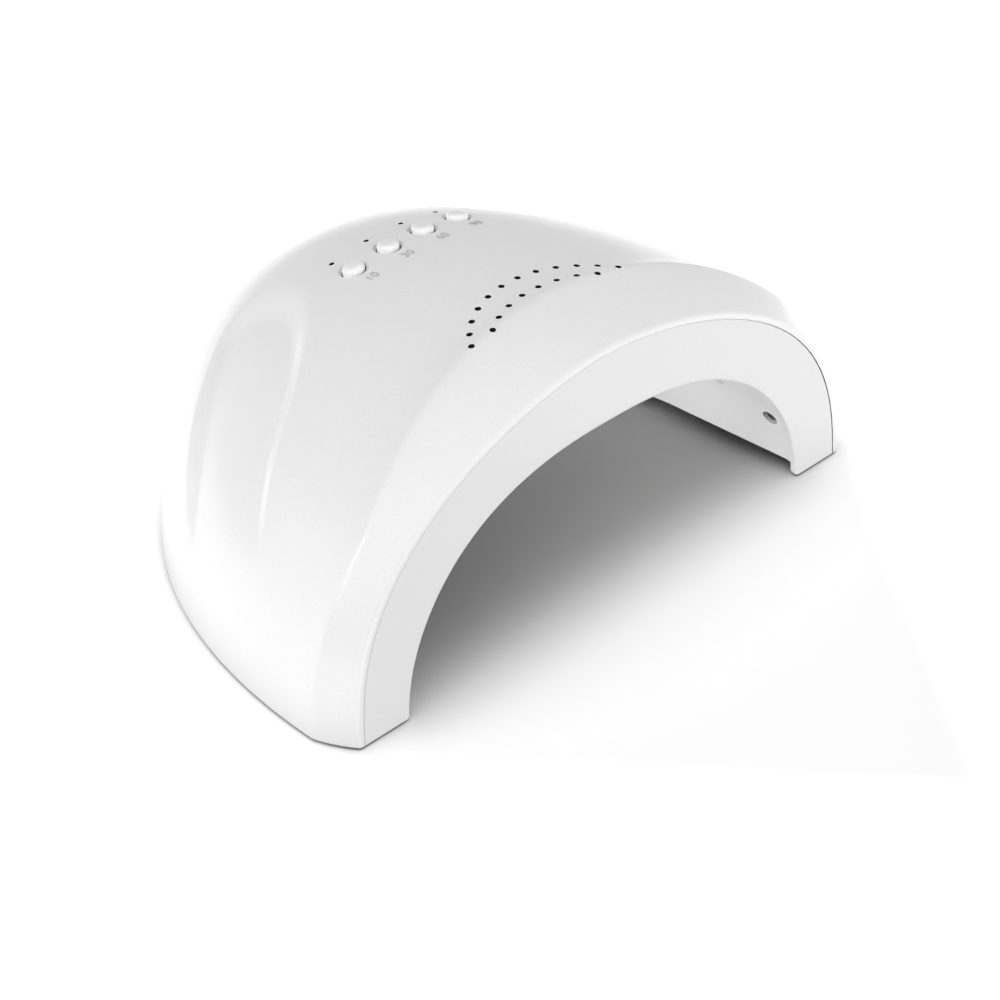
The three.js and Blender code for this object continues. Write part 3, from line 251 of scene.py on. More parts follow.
def arch(half_width, height, side_power, top_power, turn, foot):
    """An arch seen from the front: x = w |sin a|^(2/side) and z = h |cos a|^(2/top), where the angle a runs
    from foot to foot as turn runs from -1 to 1."""
    limit = np.arccos(np.minimum(1, foot / np.maximum(height, LEAST_WIDTH)) ** (top_power / 2))
    angle = turn * limit
    x = half_width * np.sign(angle) * np.abs(np.sin(angle)) ** (2 / side_power)
    z = np.maximum(foot, height * np.abs(np.cos(angle)) ** (2 / top_power))
    return x, z


def hood_half_width(y, inset=0.0):
    """Half the hood's width at a depth: a superellipse quarter over the hood's depth."""
    return (HOOD_WIDTH / 2 - inset) * falloff(y / (HOOD_DEPTH - inset), HOOD_PLAN)


def hood_crown(y, inset=0.0):
    """The hood's height at a depth: level to CROWN_START, then a superellipse quarter down to the back."""
    run = HOOD_DEPTH - inset - CROWN_START
    return (HOOD_HEIGHT - inset) * falloff((y - CROWN_START) / run, HOOD_CROWN)


def hood_top(x, y, inset=0.0):
    """The hood's height over a place: the crown there, let down by a superellipse across the width."""
    power = (HOOD_SIDE + HOOD_TOP) / 2
    half_width = np.maximum(hood_half_width(y, inset), LEAST_WIDTH)
    return hood_crown(y, inset) * falloff(np.abs(x) / half_width, power)


def ridge_setback(x):
    """The ridge's distance from the front: a parabola over the width, deepest in the middle."""
    return RIDGE_AT_FOOT + (RIDGE_AT_TOP - RIDGE_AT_FOOT) * np.maximum(0, 1 - (x / RIDGE_SHOULDER) ** 2)


def scoop(y, z):
    """Depth of the side scoop. Its outline has a large round at the front of its top and a small one at the
    back, with straight sides below them. The depth is a smooth step across that outline, times a fade that
    lets the scoop run out towards the floor."""
    back, rise = y - SCOOP_SETBACK, z - SCOOP_START_HEIGHT
    along = np.cos(SCOOP_LEAN) * back + np.sin(SCOOP_LEAN) * rise
    across = np.cos(SCOOP_LEAN) * rise - np.sin(SCOOP_LEAN) * back - SCOOP_MIDDLE
    size = np.where(across > 0, SCOOP_FRONT_ROUND, SCOOP_BACK_ROUND)
    inside = size - np.hypot(np.maximum(along - SCOOP_TOP + size, 0), across)
    front = smooth(across, 0, SCOOP_FRONT_ROUND / 2)
    edge = SCOOP_BACK_EDGE + (SCOOP_FRONT_EDGE - SCOOP_BACK_EDGE) * front
    fade = smooth(along + SCOOP_FADE_START, 0, SCOOP_FADE_LENGTH)
    return SCOOP_DEPTH * fade * smooth(inside + edge / 2, 0, edge)


def hood_point(y, turn, inset=0.0):
    """A point of the hood: its arch at that depth, lifted near the ridge by (1 - s/fade)^2, let down behind
    it by t e^(1 - t), and sunk along the arch's normal in the scoops."""
    half_width = np.maximum(hood_half_width(y, inset), LEAST_WIDTH)
    crown = np.maximum(hood_crown(y, inset), FLOOR_GAP)
    x, z = arch(half_width, crown, HOOD_SIDE, HOOD_TOP, turn, FLOOR_GAP)
    behind = y - ridge_setback(x)
    rise = RIDGE_RISE * np.maximum(0, 1 - np.abs(behind) / RIDGE_FADE) ** 2
    back = np.maximum(behind, 0) / RIDGE_DIP_SETBACK
    rise = rise - RIDGE_DIP * back * np.exp(1 - back)
    lift = 1 + rise / (HOOD_HEIGHT - inset) * (z - FLOOR_GAP) / crown
    sink = np.where(np.abs(turn) < 1, scoop(y, z), 0)
    normal = unit(points_of(x / half_width**2, z / crown**2))
    x, z = x * lift - normal[..., 0] * sink, z * lift - normal[..., 1] * sink
    return points_of(x, y, z)


def hood_end(inset=0.0):
    """The depth at which the crown has come down to the floor gap."""
    share = falloff(FLOOR_GAP / (HOOD_HEIGHT - inset), HOOD_CROWN)
    return CROWN_START + (HOOD_DEPTH - inset - CROWN_START) * share


def face_point(turn, inset=0.0):
    """The face's outline, inset in its own plane, which leans back by FACE_RAKE."""
    x, z = arch(FACE_WIDTH / 2 - inset, FACE_HEIGHT - inset, FACE_SIDE, FACE_TOP, turn, FLOOR_GAP)
    return points_of(x, z * FACE_RAKE, z)


def cover_sheet(band_rows, hood_rows, turns, inset, rim):
    """Points of the cover from its front edge to the pole at the back: straight lines with a slight swell
    from the face outline to the ridge, then hood arches whose spacing tightens towards the back."""
    turn = turns[None, :]
    ridge_y = ridge_setback(hood_point(RIDGE_AT_FOOT, turns, inset)[:, 0])[None, :]
    share = np.linspace(0, 1, band_rows + 1)[:, None, None]
    front, ridge = face_point(turns, rim)[None], hood_point(ridge_y, turn, inset)
    band = front + (ridge - front) * share
    swell = 1 + BAND_SWELL * 4 * share[..., 0] * (1 - share[..., 0]) / HOOD_HEIGHT
    band[..., 0] *= swell
    band[..., 2] = FLOOR_GAP + (band[..., 2] - FLOOR_GAP) * swell
    share = 1 - (1 - np.linspace(0, 1, hood_rows + 1)[1:, None]) ** 2
    hood = hood_point(ridge_y + (hood_end(inset) - ridge_y) * share, turn, inset)
    return np.concatenate([band, hood])


def eased(grid, row, reach, passes):
    """The grid with its rows near one row averaged with their neighbours (1, 2, 1), which rounds a crease."""
    grid = grid.copy()
    low, high = row - reach, row + reach + 1
    for _ in range(passes):
        grid[low:high] = (grid[low - 1:high - 1] + 2 * grid[low:high] + grid[low + 1:high + 1]) / 4
    return grid


def rolled(edge, along, inward, radius):
    """Lines that round an edge: quadratic curves from radius along one face to radius along the other, with
    the sharp edge as their control point."""
    t = np.linspace(0, 1, EDGE_STEPS + 1)[:, None, None]
    start, end = edge + along * radius, edge + inward * radius
    return (1 - t) ** 2 * start + 2 * t * (1 - t) * edge + t**2 * end


def roll_feet(grid, inner_feet, radius):
    """Both foot edges of a grid rounded towards the inner wall's feet, less where the wall closes behind."""
    for side in (0, 1):
        line, following = (grid[:, 0], grid[:, 1]) if side == 0 else (grid[:, -1], grid[:, -2])
        size = (radius * np.clip(np.abs(line[:, 0]) / FOOT_EDGE_FADE, 0, 1))[:, None]
        lines = rolled(line, unit(following - line), unit(inner_feet[side] - line), size)
        lines = np.swapaxes(lines, 0, 1)
        if side == 0:
            grid = np.concatenate([lines[:, ::-1], grid[:, 1:]], axis=1)
        else:
            grid = np.concatenate([grid[:, :-1], lines], axis=1)
    return grid


def grid_quads(rows, columns, start=0):
    """The quads of a grid of points numbered row by row from start."""
    first = start + np.arange(rows - 1)[:, None] * columns + np.arange(columns - 1)
    return np.stack([first, first + 1, first + columns + 1, first + columns], axis=-1).reshape(-1, 4).tolist()


def coarse_stops(cells, last):
    """Which points of a fine edge the coarse cells meet. The edge begins with a rounded part."""
    return [0, *(EDGE_STEPS + FINER * i for i in range(1, cells)), last]


def join_edges(fine, stops, coarse):
    """Faces between a fine edge and a coarse one, whose points meet the fine edge at the stops."""
    spans = zip(stops[:-1], stops[1:], coarse[:-1], coarse[1:])
    return [[*fine[a:b + 1], q, p] for a, b, p, q in spans]


def closed_wall(shown, hidden, row_stops, column_stops):
    """Points and faces of a wall: a fine grid that shows, a coarse hidden grid, and strips along the front
    and both feet. The last row of each grid is a pole."""
    rows, columns = shown.shape[:2]
    back_rows, back_columns = hidden.shape[:2]
    start = rows * columns
    index = np.arange(start).reshape(rows, columns)
    back = start + np.arange(back_rows * back_columns).reshape(back_rows, back_columns)
    faces = grid_quads(rows, columns) + grid_quads(back_rows, back_columns, start)
    faces += join_edges(index[0].tolist(), column_stops, back[0].tolist())
    faces += join_edges(index[:, 0].tolist(), row_stops, back[:, 0].tolist())
    faces += join_edges(index[:, -1].tolist(), row_stops, back[:, -1].tolist())
    return np.concatenate([shown.reshape(-1, 3), hidden.reshape(-1, 3)]), faces


def add_object(name, data):
    """An object for some data, in the scene."""
    made = bpy.data.objects.new(name, data)
    bpy.context.scene.collection.objects.link(made)
    return made


def finished_mesh(made):
    """The mesh that an object comes to with its modifiers or its letters."""
    graph = bpy.context.evaluated_depsgraph_get()
    return bpy.data.meshes.new_from_object(made.evaluated_get(graph))


def read_vectors(items, key):
    """One vector of each item of a mesh, such as its points' places or its faces' normals."""
    values = np.empty(len(items) * 3)
    items.foreach_get(key, values)
    return values.reshape(-1, 3)


def make_object(name, points, faces):
    """A mesh object from points in millimetres, its doubles merged, faces outward, smooth up to an angle."""
    mesh = bpy.data.meshes.new(name)
    mesh.from_pydata(to_frame(points), [], faces)
    made = add_object(name, mesh)
    tidy_mesh(made)
    return made


def tidy_mesh(made):
    """Merges doubled points, turns every face outwards and shades smooth below the sharp angle."""
    sheet = bmesh.new()
    sheet.from_mesh(made.data)
    bmesh.ops.remove_doubles(sheet, verts=sheet.verts, dist=WELD)
    bmesh.ops.dissolve_degenerate(sheet, edges=sheet.edges, dist=WELD)
    bmesh.ops.recalc_face_normals(sheet, faces=sheet.faces)
    sheet.to_mesh(made.data)
    sheet.free()
    made.data.shade_smooth()
    made.data.set_sharp_from_angle(angle=SHARP_ANGLE)


def turned(profile, place, facets=ROUND_FACETS):
    """Points and faces of a body of revolution: each radius and height of the profile carried round the
    place's z axis."""
    radius, height = np.array(profile, float).T
    angle = np.linspace(0, 2 * np.pi, facets, endpoint=False)
    x, y = np.outer(radius, np.cos(angle)), np.outer(radius, np.sin(angle))
    local = points_of(x, y, height[:, None]).reshape(-1, 3)
    row = np.arange(len(height) - 1)[:, None] * facets
    first = row + np.arange(facets)
    following = row + (np.arange(facets) + 1) % facets
    faces = np.stack([first, following, following + facets, first + facets], axis=-1).reshape(-1, 4)
    return moved(local, place), faces.tolist()


def rod(width, low, high, place, facets=HOLE_FACETS):
    """A plain round rod along a place's z axis."""
    radius = width / 2
    return turned([[0, low], [radius, low], [radius, high], [0, high]], place, facets)


def slab(low, high, place=np.eye(4)):
    """Points and faces of a box between two corners of a place."""
    corner = np.array([[i, j, k] for i in (0, 1) for j in (0, 1) for k in (0, 1)])
    points = np.where(corner == 1, np.array(high, float), np.array(low, float))
    faces = [[0, 1, 3, 2], [4, 6, 7, 5], [0, 4, 5, 1], [2, 3, 7, 6], [0, 2, 6, 4], [1, 5, 7, 3]]
    return moved(points, place), faces


def moved(points, place):
    """Points of a place, a 4 by 4 matrix, as points of the lamp."""
    return points @ place[:3, :3].T + place[:3, 3]


def place_at(origin, normal, across):
    """A place with z along the normal and x as near as can be to the given direction."""
    z = unit(np.array(normal, float))
    y = unit(np.cross(z, np.array(across, float)))
    place = np.eye(4)
    place[:3, :3] = np.stack([np.cross(y, z), y, z], axis=1)
    place[:3, 3] = origin
    return place


def shifted(place, x, y, z=0.0):
    """The same place moved along its own axes."""
    made = place.copy()
    made[:3, 3] = place[:3, :3] @ [x, y, z] + place[:3, 3]
    return made


def upright(x, y, z=0.0):
    """A place over a point of the floor, with its own z straight up."""
    return shifted(np.eye(4), x, y, z)


def dome(radius, base, rise, steps, power=1.0):
    """A dome's profile from its rim to its tip: radius x (cos a)^power and base + rise x sin a, where the
    angle a runs from 0 to a right angle."""
    angle = np.linspace(0, np.pi / 2, steps + 1)
    return np.stack([radius * np.cos(angle) ** power, base + rise * np.sin(angle)], axis=-1).tolist()


def together(*bodies):
    """Several bodies' points and faces as one."""
    points, faces, count = [], [], 0
    for body_points, body_faces in bodies:
        points.append(body_points)
        faces += [[count + i for i in face] for face in body_faces]
        count += len(body_points)
    return np.concatenate(points), faces


def cut(target, bodies, operation="DIFFERENCE"):
    """Takes closed bodies out of a target's mesh, or joins them to it."""
    tool = make_object("tool", *together(*bodies))
    modifier = target.modifiers.new("cut", "BOOLEAN")
    modifier.object, modifier.operation, modifier.solver = tool, operation, "EXACT"
    mesh = finished_mesh(target)
    target.modifiers.clear()
    target.data = mesh
    bpy.data.objects.remove(tool)
    tidy_mesh(target)


def eased_box(name, low, high, place, edge):
    """A box between two corners of a place, its edges rounded."""
    made = make_object(name, *slab(low, high, place))
    bevel = made.modifiers.new("edges", "BEVEL")
    bevel.width, bevel.segments = edge * MM, BEVEL_STEPS
    return made


def seat(made, slot, *nodes, body="root", finish=None):
    """Gives a finished piece the slot's own finish or another one and its body, and hides the frame's nodes
    that it stands for."""
    made.data.materials.clear()
    made.data.materials.append(finish or FINISHES[slot])
    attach(made, body)
    if nodes:
        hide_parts(*nodes)


class Shade:
    """A number or colour that varies over a material, so that masks add and multiply as plain expressions."""

    def __init__(self, tree, socket):
        self.tree = tree
        self.socket = socket

    def math(self, operation, *others):
        """One Math node on this value and others."""
        made = self.tree.nodes.new("ShaderNodeMath")
        made.operation = operation
        for slot, value in zip(made.inputs, (self, *others)):
            link(self.tree, slot, value)
        return Shade(self.tree, made.outputs[0])

    def __add__(self, other):
        return self.math("ADD", other)

    def __mul__(self, other):
        return self.math("MULTIPLY", other)

    def __sub__(self, other):
        return self.math("SUBTRACT", other)

    def __rsub__(self, other):
        return (self * -1) + other

    __radd__ = __add__
    __rmul__ = __mul__


def link(tree, slot, value):
    """Links a Shade to a socket, or sets the socket's own value."""
    if isinstance(value, Shade):
        tree.links.new(value.socket, slot)
    else:
        slot.default_value = value


class Finish:
    """A material under construction: its node tree, its surface shader and Object coordinates."""

    def __init__(self, name, colour, roughness, metallic=0.0, coat=0.0, coat_roughness=0.05):
        self.material = bpy.data.materials.new(name)
        self.material.use_nodes = True
        self.tree = self.material.node_tree
        self.surface = self.tree.nodes["Principled BSDF"]
        self.set("Base Color", (*colour, 1))
        self.set("Roughness", roughness)
        self.set("Metallic", metallic)
        self.set("Coat Weight", coat)
        self.set("Coat Roughness", coat_roughness)
        self.where = self.node("TexCoord", {}, "Object")

    def node(self, kind, settings, output=0, **values):
        """A node of a kind: settings first, then the values or links of its sockets."""
        made = self.tree.nodes.new("ShaderNode" + kind)
        for name, value in settings.items():
            setattr(made, name, value)
        for name, value in values.items():
            socket = int(name[3:]) if name.startswith("at_") else name.replace("_", " ")
            link(self.tree, made.inputs[socket], value)
        return Shade(self.tree, made.outputs[output])

    def set(self, name, value):
        """Sets or links one socket of the surface shader."""
        link(self.tree, self.surface.inputs[name], value)

    def noise(self, size, detail=2.0, roughness=0.5):
        """Noise from 0 to 1 with features of a size in millimetres."""
        return self.node("TexNoise", {}, Vector=self.where, Scale=1 / (size * MM), Detail=detail,
                         Roughness=roughness)

    def ramp(self, value, start, end):
        """0 where the value is at the start, 1 at the end, and a smooth step between them."""
        settings = {"interpolation_type": "SMOOTHSTEP"}
        return self.node("MapRange", settings, Value=value, From_Min=start, From_Max=end, To_Min=0.0,
                         To_Max=1.0)

    def ray(self, kind):
        """1 for one kind of ray and 0 for the others."""
        return self.node("LightPath", {}, kind)

    def mixed(self, colour, other, share):
        """A colour mixed from one to another by a share that varies."""
        ends = [value if isinstance(value, Shade) else (*value, 1) for value in (colour, other)]
        return self.node("Mix", {"data_type": "RGBA"}, 2, at_0=share, at_6=ends[0], at_7=ends[1])

    def tinted(self, colour, other, share):
        """The surface colour, mixed from one to another by a share that varies."""
        self.set("Base Color", self.mixed(colour, other, share))

    def bumped(self, height, depth):
        """Relief on the normal: a height from 0 to 1, times a depth in millimetres."""
        self.set("Normal", self.node("Bump", {}, Height=height, Distance=depth * MM, Strength=1.0))


def grained(name, colour, roughness, speck, grain, depth, coat=0.0, metallic=0.0):
    """A moulded finish: faint specks of tone, roughness that drifts, and a fine relief."""
    made = Finish(name, colour, roughness, metallic, coat)
    specks = made.noise(speck, detail=3.0, roughness=0.6)
    darker = tuple(c * SPECK_TONE for c in colour)
    made.tinted(colour, darker, specks * specks)
    drift = made.noise(grain * DRIFT_SIZE) * (roughness * DRIFT_SHARE)
    made.set("Roughness", roughness * (1 - DRIFT_SHARE / 2) + drift)
    made.bumped(made.noise(grain), depth)
    return made.material


def cover_gloss():
    """Pearly white gloss: flakes of tone in the colour, a slow ripple of the moulding and a clear coat. The
    walls of the air holes and pinholes are dull and painted nearly black, as painted shade for the dark
    inside."""
    made = Finish("cover_gloss", (0.86, 0.86, 0.865), 0.34, COVER_METAL, COVER_COAT, coat_roughness=0.12)
    flakes, cloud = made.noise(PEARL_FLAKE, detail=1.0), made.noise(PEARL_CLOUD)
    hole = made.node("Attribute", {"attribute_name": "hole"}, "Fac")
    pearl = made.mixed(PEARL_LIGHT, PEARL_DARK, flakes * FLAKE_SHARE + cloud * CLOUD_SHARE)
    # Painted shade: the marked walls of the holes are coloured nearly black, like the dark inside behind
    # them.
    made.set("Base Color", made.mixed(pearl, HOLE_PAINTED_SHADE, hole))
    made.set("Metallic", COVER_METAL - hole * COVER_METAL)
    made.set("Coat Weight", COVER_COAT - hole * COVER_COAT)
    ripple = made.noise(RIPPLE_SIZE) * RIPPLE_SHARE
    made.set("Roughness", COVER_ROUGHNESS + ripple + hole * HOLE_ROUGHNESS)
    made.bumped(made.noise(PEARL_FLAKE, detail=1.0, roughness=0.4), PEARL_RELIEF)
    return made.material


def clear_lens():
    """Clear cast resin over a pale amber chip, seen as a glossy grey-white bead."""
    made = Finish("clear_resin", (0.72, 0.72, 0.76), 0.12, coat=1.0, coat_roughness=0.03)
    made.tinted((0.78, 0.77, 0.8), (0.66, 0.62, 0.5), made.noise(1.2, detail=1.0))
    return made.material


def circuit(name, mask, copper):
    """Solder mask with the tracks' faint relief and slightly different tone."""
    made = Finish(name, mask, 0.42, coat=0.3)
    tracks = made.node("TexBrick", {}, "Fac", Vector=made.where, Scale=TRACKS_PER_METRE)
    made.tinted(mask, copper, tracks * TRACK_SHARE)
    made.bumped(tracks, TRACK_RELIEF)
    return made.material


# A grained finish: its colour, its roughness, the size of its specks and of its grain, and its relief's depth
FINISHES = {
    "cover_gloss": cover_gloss(),
    "liner_satin": grained("liner_satin", (0.84, 0.84, 0.84), 0.36, 0.5, 0.7, 0.003, coat=0.25),
    "base_satin": grained("base_satin", (0.78, 0.78, 0.78), 0.5, 0.8, 0.5, 0.012),
    "button_white": grained("button_white", (0.95, 0.95, 0.95), 0.3, 0.4, 0.6, 0.002, coat=0.4),
    "soft_rubber": grained("soft_rubber", (0.55, 0.55, 0.55), 0.8, 0.3, 0.25, 0.02),
    "circuit_green": circuit("circuit_green", (0.02, 0.16, 0.05), (0.05, 0.26, 0.09)),
    "circuit_white": circuit("circuit_white", (0.82, 0.82, 0.78), (0.74, 0.74, 0.7)),
    "black_resin": grained("black_resin", (0.02, 0.02, 0.022), 0.38, 0.5, 0.4, 0.006, coat=0.2),
    "steel": grained("steel", (0.56, 0.57, 0.58), 0.3, 0.6, 0.3, 0.004, metallic=1.0),
    "clear_resin": clear_lens(),
    "capacitor_sleeve": grained("capacitor_sleeve", (0.03, 0.06, 0.14), 0.35, 0.6, 0.8, 0.004, coat=0.3),
    "red_wire": grained("red_wire", (0.5, 0.02, 0.015), 0.45, 0.5, 0.6, 0.004),
    "black_wire": grained("black_wire", (0.02, 0.02, 0.02), 0.45, 0.5, 0.6, 0.004),
    "white_wire": grained("white_wire", (0.78, 0.78, 0.74), 0.45, 0.5, 0.6, 0.004),
}

for part in frame["record"]["subparts"]:
    node = frame["nodes"][part["node"]]
    for slot_of_node in node.material_slots:
        slot_of_node.material = FINISHES[part["material_slot"]]


# The buttons' panel: square to the crown where the buttons sit
panel_rise = hood_top(0, BUTTON_SETBACK + COVER_WALL) - hood_top(0, BUTTON_SETBACK - COVER_WALL)
panel_normal = (0, -panel_rise / (2 * COVER_WALL), 1)
PANEL = place_at((0, BUTTON_SETBACK, hood_top(0, BUTTON_SETBACK)), panel_normal, (1, 0, 0))
BUTTON_PLACES = [(i - (BUTTONS - 1) / 2) * BUTTON_PITCH for i in range(BUTTONS)]


def on_panel(points):
    """Points of the lamp as points of the buttons' panel."""
    return (points - PANEL[:3, 3]) @ PANEL[:3, :3]


def panel_drop(x, y, inset=0.0):
    """How far the hood lies below the panel's plane at places on it."""
    guess = moved(points_of(x, y, 0.0), PANEL)
    x, y = guess[..., 0], guess[..., 1]
    return on_panel(points_of(x, y, hood_top(x, y, inset)))[..., 2]


def on_hood(body, x, y, level):
    """A body turned about a place of the panel, its points above a level shifted to follow the hood."""
    points, faces = body
    local = on_panel(points)
    shift = panel_drop(local[:, 0], local[:, 1]) - panel_drop(x, y)
    local[:, 2] += np.where(local[:, 2] > level, shift, 0)
    return moved(local, PANEL), faces


def vent_places():
    """Two arcs of air holes: x = w/2 sin a, y = setback - arc pitch + rise cos a, in mirrored pairs."""
    places = []
    for arc, pairs in enumerate(VENT_PAIRS):
        angle = np.outer((-1, 1), np.arange(pairs) + 0.5).ravel() * VENT_ANGLE
        y = VENT_SETBACK - arc * VENT_PITCH + VENT_RISE * np.cos(angle)
        places += zip(VENT_WIDTH / 2 * np.sin(angle), y)
    return places


def inlet_place():
    """The inlet's own place: z out through the back, its face where the frame's inlet has it."""
    low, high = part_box("power_inlet")
    origin = (0, low.y / MM + HOOD_DEPTH / 2 + JACK_LENGTH, (low.z + high.z) / 2 / MM)
    return place_at(origin, (0, 1, 0), (1, 0, 0))


def middles(stem, count):
    """The middle of each numbered node of a kind, seen from above, from the front of the feet."""
    places = []
    for i in range(count):
        low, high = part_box("%s_%d" % (stem, i + 1))
        places.append(((low.x + high.x) / 2 / MM, (low.y + high.y) / 2 / MM + HOOD_DEPTH / 2))
    return places


CASE_SCREWS = middles("case_screw", CASE_SCREW_COUNT)
FEET = middles("rubber_foot", FOOT_COUNT)
BOARD_BOSSES = (-BOARD_BOSS_SPAN / 2, BOARD_BOSS_SPAN / 2)


def inside_wall(x, y):
    """A height within the cover's wall over a place, let down by the scoop where there is one."""
    skin = hood_top(x, y)
    return hood_top(x, y, COVER_WALL * (1 - BOSS_BITE) + scoop(y, skin))


def cover_bosses():
    """The screw bosses under the hood, each a rod whose top follows the wall that it grows from."""
    bosses = []
    for x, y in CASE_SCREWS:
        points, faces = rod(CASE_BOSS, BOSS_FOOT, HOOD_HEIGHT, upright(x, y))
        top = points[:, 2] > BOSS_FOOT + SEAM
        points[top, 2] = inside_wall(points[top, 0], points[top, 1])
        bosses.append((points, faces))
    for x in BOARD_BOSSES:
        low = SEAM - CONTROL_DROP
        points, faces = rod(BOARD_BOSS, low, 0, shifted(PANEL, x, 0))
        local = on_panel(points)
        drop = panel_drop(local[:, 0], local[:, 1], COVER_WALL * (1 - BOSS_BITE))
        local[:, 2] = np.where(local[:, 2] > low + SEAM, drop, local[:, 2])
        bosses.append((moved(local, PANEL), faces))
    return bosses


def cover_pilots():
    """The pilot holes up into the screw bosses."""
    pilots = [rod(SCREW_BORE, 0, BOSS_FOOT + CASE_PILOT, upright(x, y)) for x, y in CASE_SCREWS]
    return pilots + [rod(SCREW_BORE, -CONTROL_DROP - REACH, BOARD_PILOT - CONTROL_DROP, shifted(PANEL, x, 0))
                     for x in BOARD_BOSSES]


def make_cover():
    """The glossy hood with its band, ridge and scoops, then its button holes, pinholes, air holes and inlet
    hole."""
    band, hood, columns = (COVER_CELLS[key] for key in ("band", "hood", "round"))
    turns = np.linspace(-1, 1, columns * FINER + 1)
    shown = cover_sheet(band * FINER, hood * FINER, turns, 0.0, 0.0)
    shown = eased(shown, band * FINER, RIDGE_EASE_ROWS, RIDGE_EASE_PASSES)
    hidden = cover_sheet(band, hood, turns[::FINER], COVER_WALL, COVER_RIM)
    feet = cover_sheet(band * FINER, hood * FINER, np.array([-1.0, 1.0]), COVER_WALL, COVER_RIM)
    shown = roll_feet(shown, (feet[:, 0], feet[:, 1]), FOOT_EDGE)
    inner_rim = face_point(turns, COVER_RIM)
    left_foot, right_foot = inner_rim[:1].repeat(EDGE_STEPS, 0), inner_rim[-1:].repeat(EDGE_STEPS, 0)
    inner_rim = np.concatenate([left_foot, inner_rim, right_foot])
    inward = unit(inner_rim - shown[0])
    front = rolled(shown[0], unit(shown[1] - shown[0]), inward, COVER_EDGE)
    shown = np.concatenate([front[::-1], shown[1:]])
    row_stops = coarse_stops(band + hood, shown.shape[0] - 1)
    column_stops = coarse_stops(columns, shown.shape[1] - 1)
    cover = make_object("outer_shell", *closed_wall(shown, hidden, row_stops, column_stops))
    cut(cover, cover_bosses(), "UNION")
    tools = cover_pilots()
    for x in BUTTON_PLACES:
        drop = panel_drop(x, 0)
        wide, narrow, ease = BUTTON_DISH / 2, BUTTON_HOLE / 2, BUTTON_DISH_EASE
        dish = drop - BUTTON_DISH_DEPTH
        profile = [
            [0, drop - REACH * 2],
            [narrow, drop - REACH * 2],
            [narrow, dish - ease],
            [narrow + ease, dish],
            [wide - ease, dish],
            [wide - ease / 3, dish + ease],
            [wide, drop - ease],
            [wide + ease, drop + ease],
            [wide + ease, drop + REACH],
            [0, drop + REACH],
        ]
        tools.append(on_hood(turned(profile, shifted(PANEL, x, 0)), x, 0, drop - COVER_WALL))
        tools.append(rod(PINHOLE, drop - REACH * 2, drop + REACH, shifted(PANEL, x, PINHOLE_SETBACK)))
    for x, y in vent_places():
        top = hood_top(x, y)
        tools.append(rod(VENT_HOLE, top - REACH * 2, top + REACH, upright(x, y)))
    inlet = inlet_place()
    tools.append(rod(JACK_NOSE + 2 * SEAM, 0, REACH * 4, inlet, ROUND_FACETS))
    cut(cover, tools)
    paint_hole_shade(cover)
    seat(cover, "cover_gloss", "outer_cover")


def paint_hole_shade(cover):
    """Marks the walls of the air holes and pinholes for painted shade, which colours them as dark as the
    inside
    behind them: a face attribute that is 1 close to a hole's axis where the face runs along that axis."""
    mesh = cover.data
    centres = read_vectors(mesh.polygons, "center") / MM + [0, HOOD_DEPTH / 2, 0]
    normals = read_vectors(mesh.polygons, "normal")
    steep = np.abs(normals[:, 2]) < HOLE_TILT
    square = np.abs(normals @ PANEL[:3, 2]) < HOLE_TILT
    marks = np.zeros(len(centres))
    for x, y in vent_places():
        away = np.hypot(centres[:, 0] - x, centres[:, 1] - y)
        marks[(away < VENT_HOLE) & steep] = 1
    local = on_panel(centres)
    for x in BUTTON_PLACES:
        away = np.hypot(local[:, 0] - x, local[:, 1] - PINHOLE_SETBACK)
        marks[(away < PINHOLE) & square] = 1
    mesh.attributes.new("hole", "FLOAT", "FACE").data.foreach_set("value", marks)


def tunnel_share(y, outset):
    """How far a depth lies between the end of the tunnel's straight part and its back."""
    return (y - TUNNEL_STRAIGHT) / (TUNNEL_DEPTH + outset - TUNNEL_STRAIGHT)


def tunnel_half_width(y, outset=0.0):
    """Half the tunnel's width at a depth: it opens a little behind the mouth, runs straight, then closes."""
    width = MOUTH_WIDTH + (TUNNEL_WIDTH - MOUTH_WIDTH) * smooth(y, 0, MOUTH_FLARE)
    return (width / 2 + outset) * falloff(tunnel_share(y, outset), TUNNEL_PLAN)


def tunnel_crown(y, outset=0.0):
    """The tunnel's height at a depth: level, then a superellipse quarter down to its back."""
    return (MOUTH_HEIGHT + outset) * falloff(tunnel_share(y, outset), TUNNEL_CROWN)


def tunnel_point(y, turn, outset=0.0):
    """A point of the tunnel's wall, on its inner face or outset from it."""
    half_width = np.maximum(tunnel_half_width(y, outset), LEAST_WIDTH)
    crown = np.maximum(tunnel_crown(y, outset), FLOOR_GAP)
    x, z = arch(half_width, crown, MOUTH_SIDE, MOUTH_TOP, turn, FLOOR_GAP)
    return points_of(x, y, z)


def tunnel_end(outset, height=FLOOR_GAP):
    """The depth at which the tunnel's crown has come down to a height."""
    run = TUNNEL_DEPTH + outset - TUNNEL_STRAIGHT
    return TUNNEL_STRAIGHT + run * falloff(height / (MOUTH_HEIGHT + outset), TUNNEL_CROWN)


def tunnel_place(y, turn):
    """A place on the tunnel's outer face, z away from the tunnel and y towards the back, by differences."""
    step, turn_step = LINER_WALL, LINER_WALL / TUNNEL_WIDTH
    over_turn = tunnel_point(y, turn + turn_step, LINER_WALL) - tunnel_point(y, turn - turn_step, LINER_WALL)
    over_depth = tunnel_point(y + step, turn, LINER_WALL) - tunnel_point(y - step, turn, LINER_WALL)
    return place_at(tunnel_point(y, turn, LINER_WALL), np.cross(over_turn, over_depth), over_turn)


def emitter_row(length, pitch):
    """As many evenly spaced places as fit along a board."""
    count = 1 + int((length - 2 * EMITTER_EDGE) / pitch)
    return [(i - (count - 1) / 2) * pitch for i in range(count)]


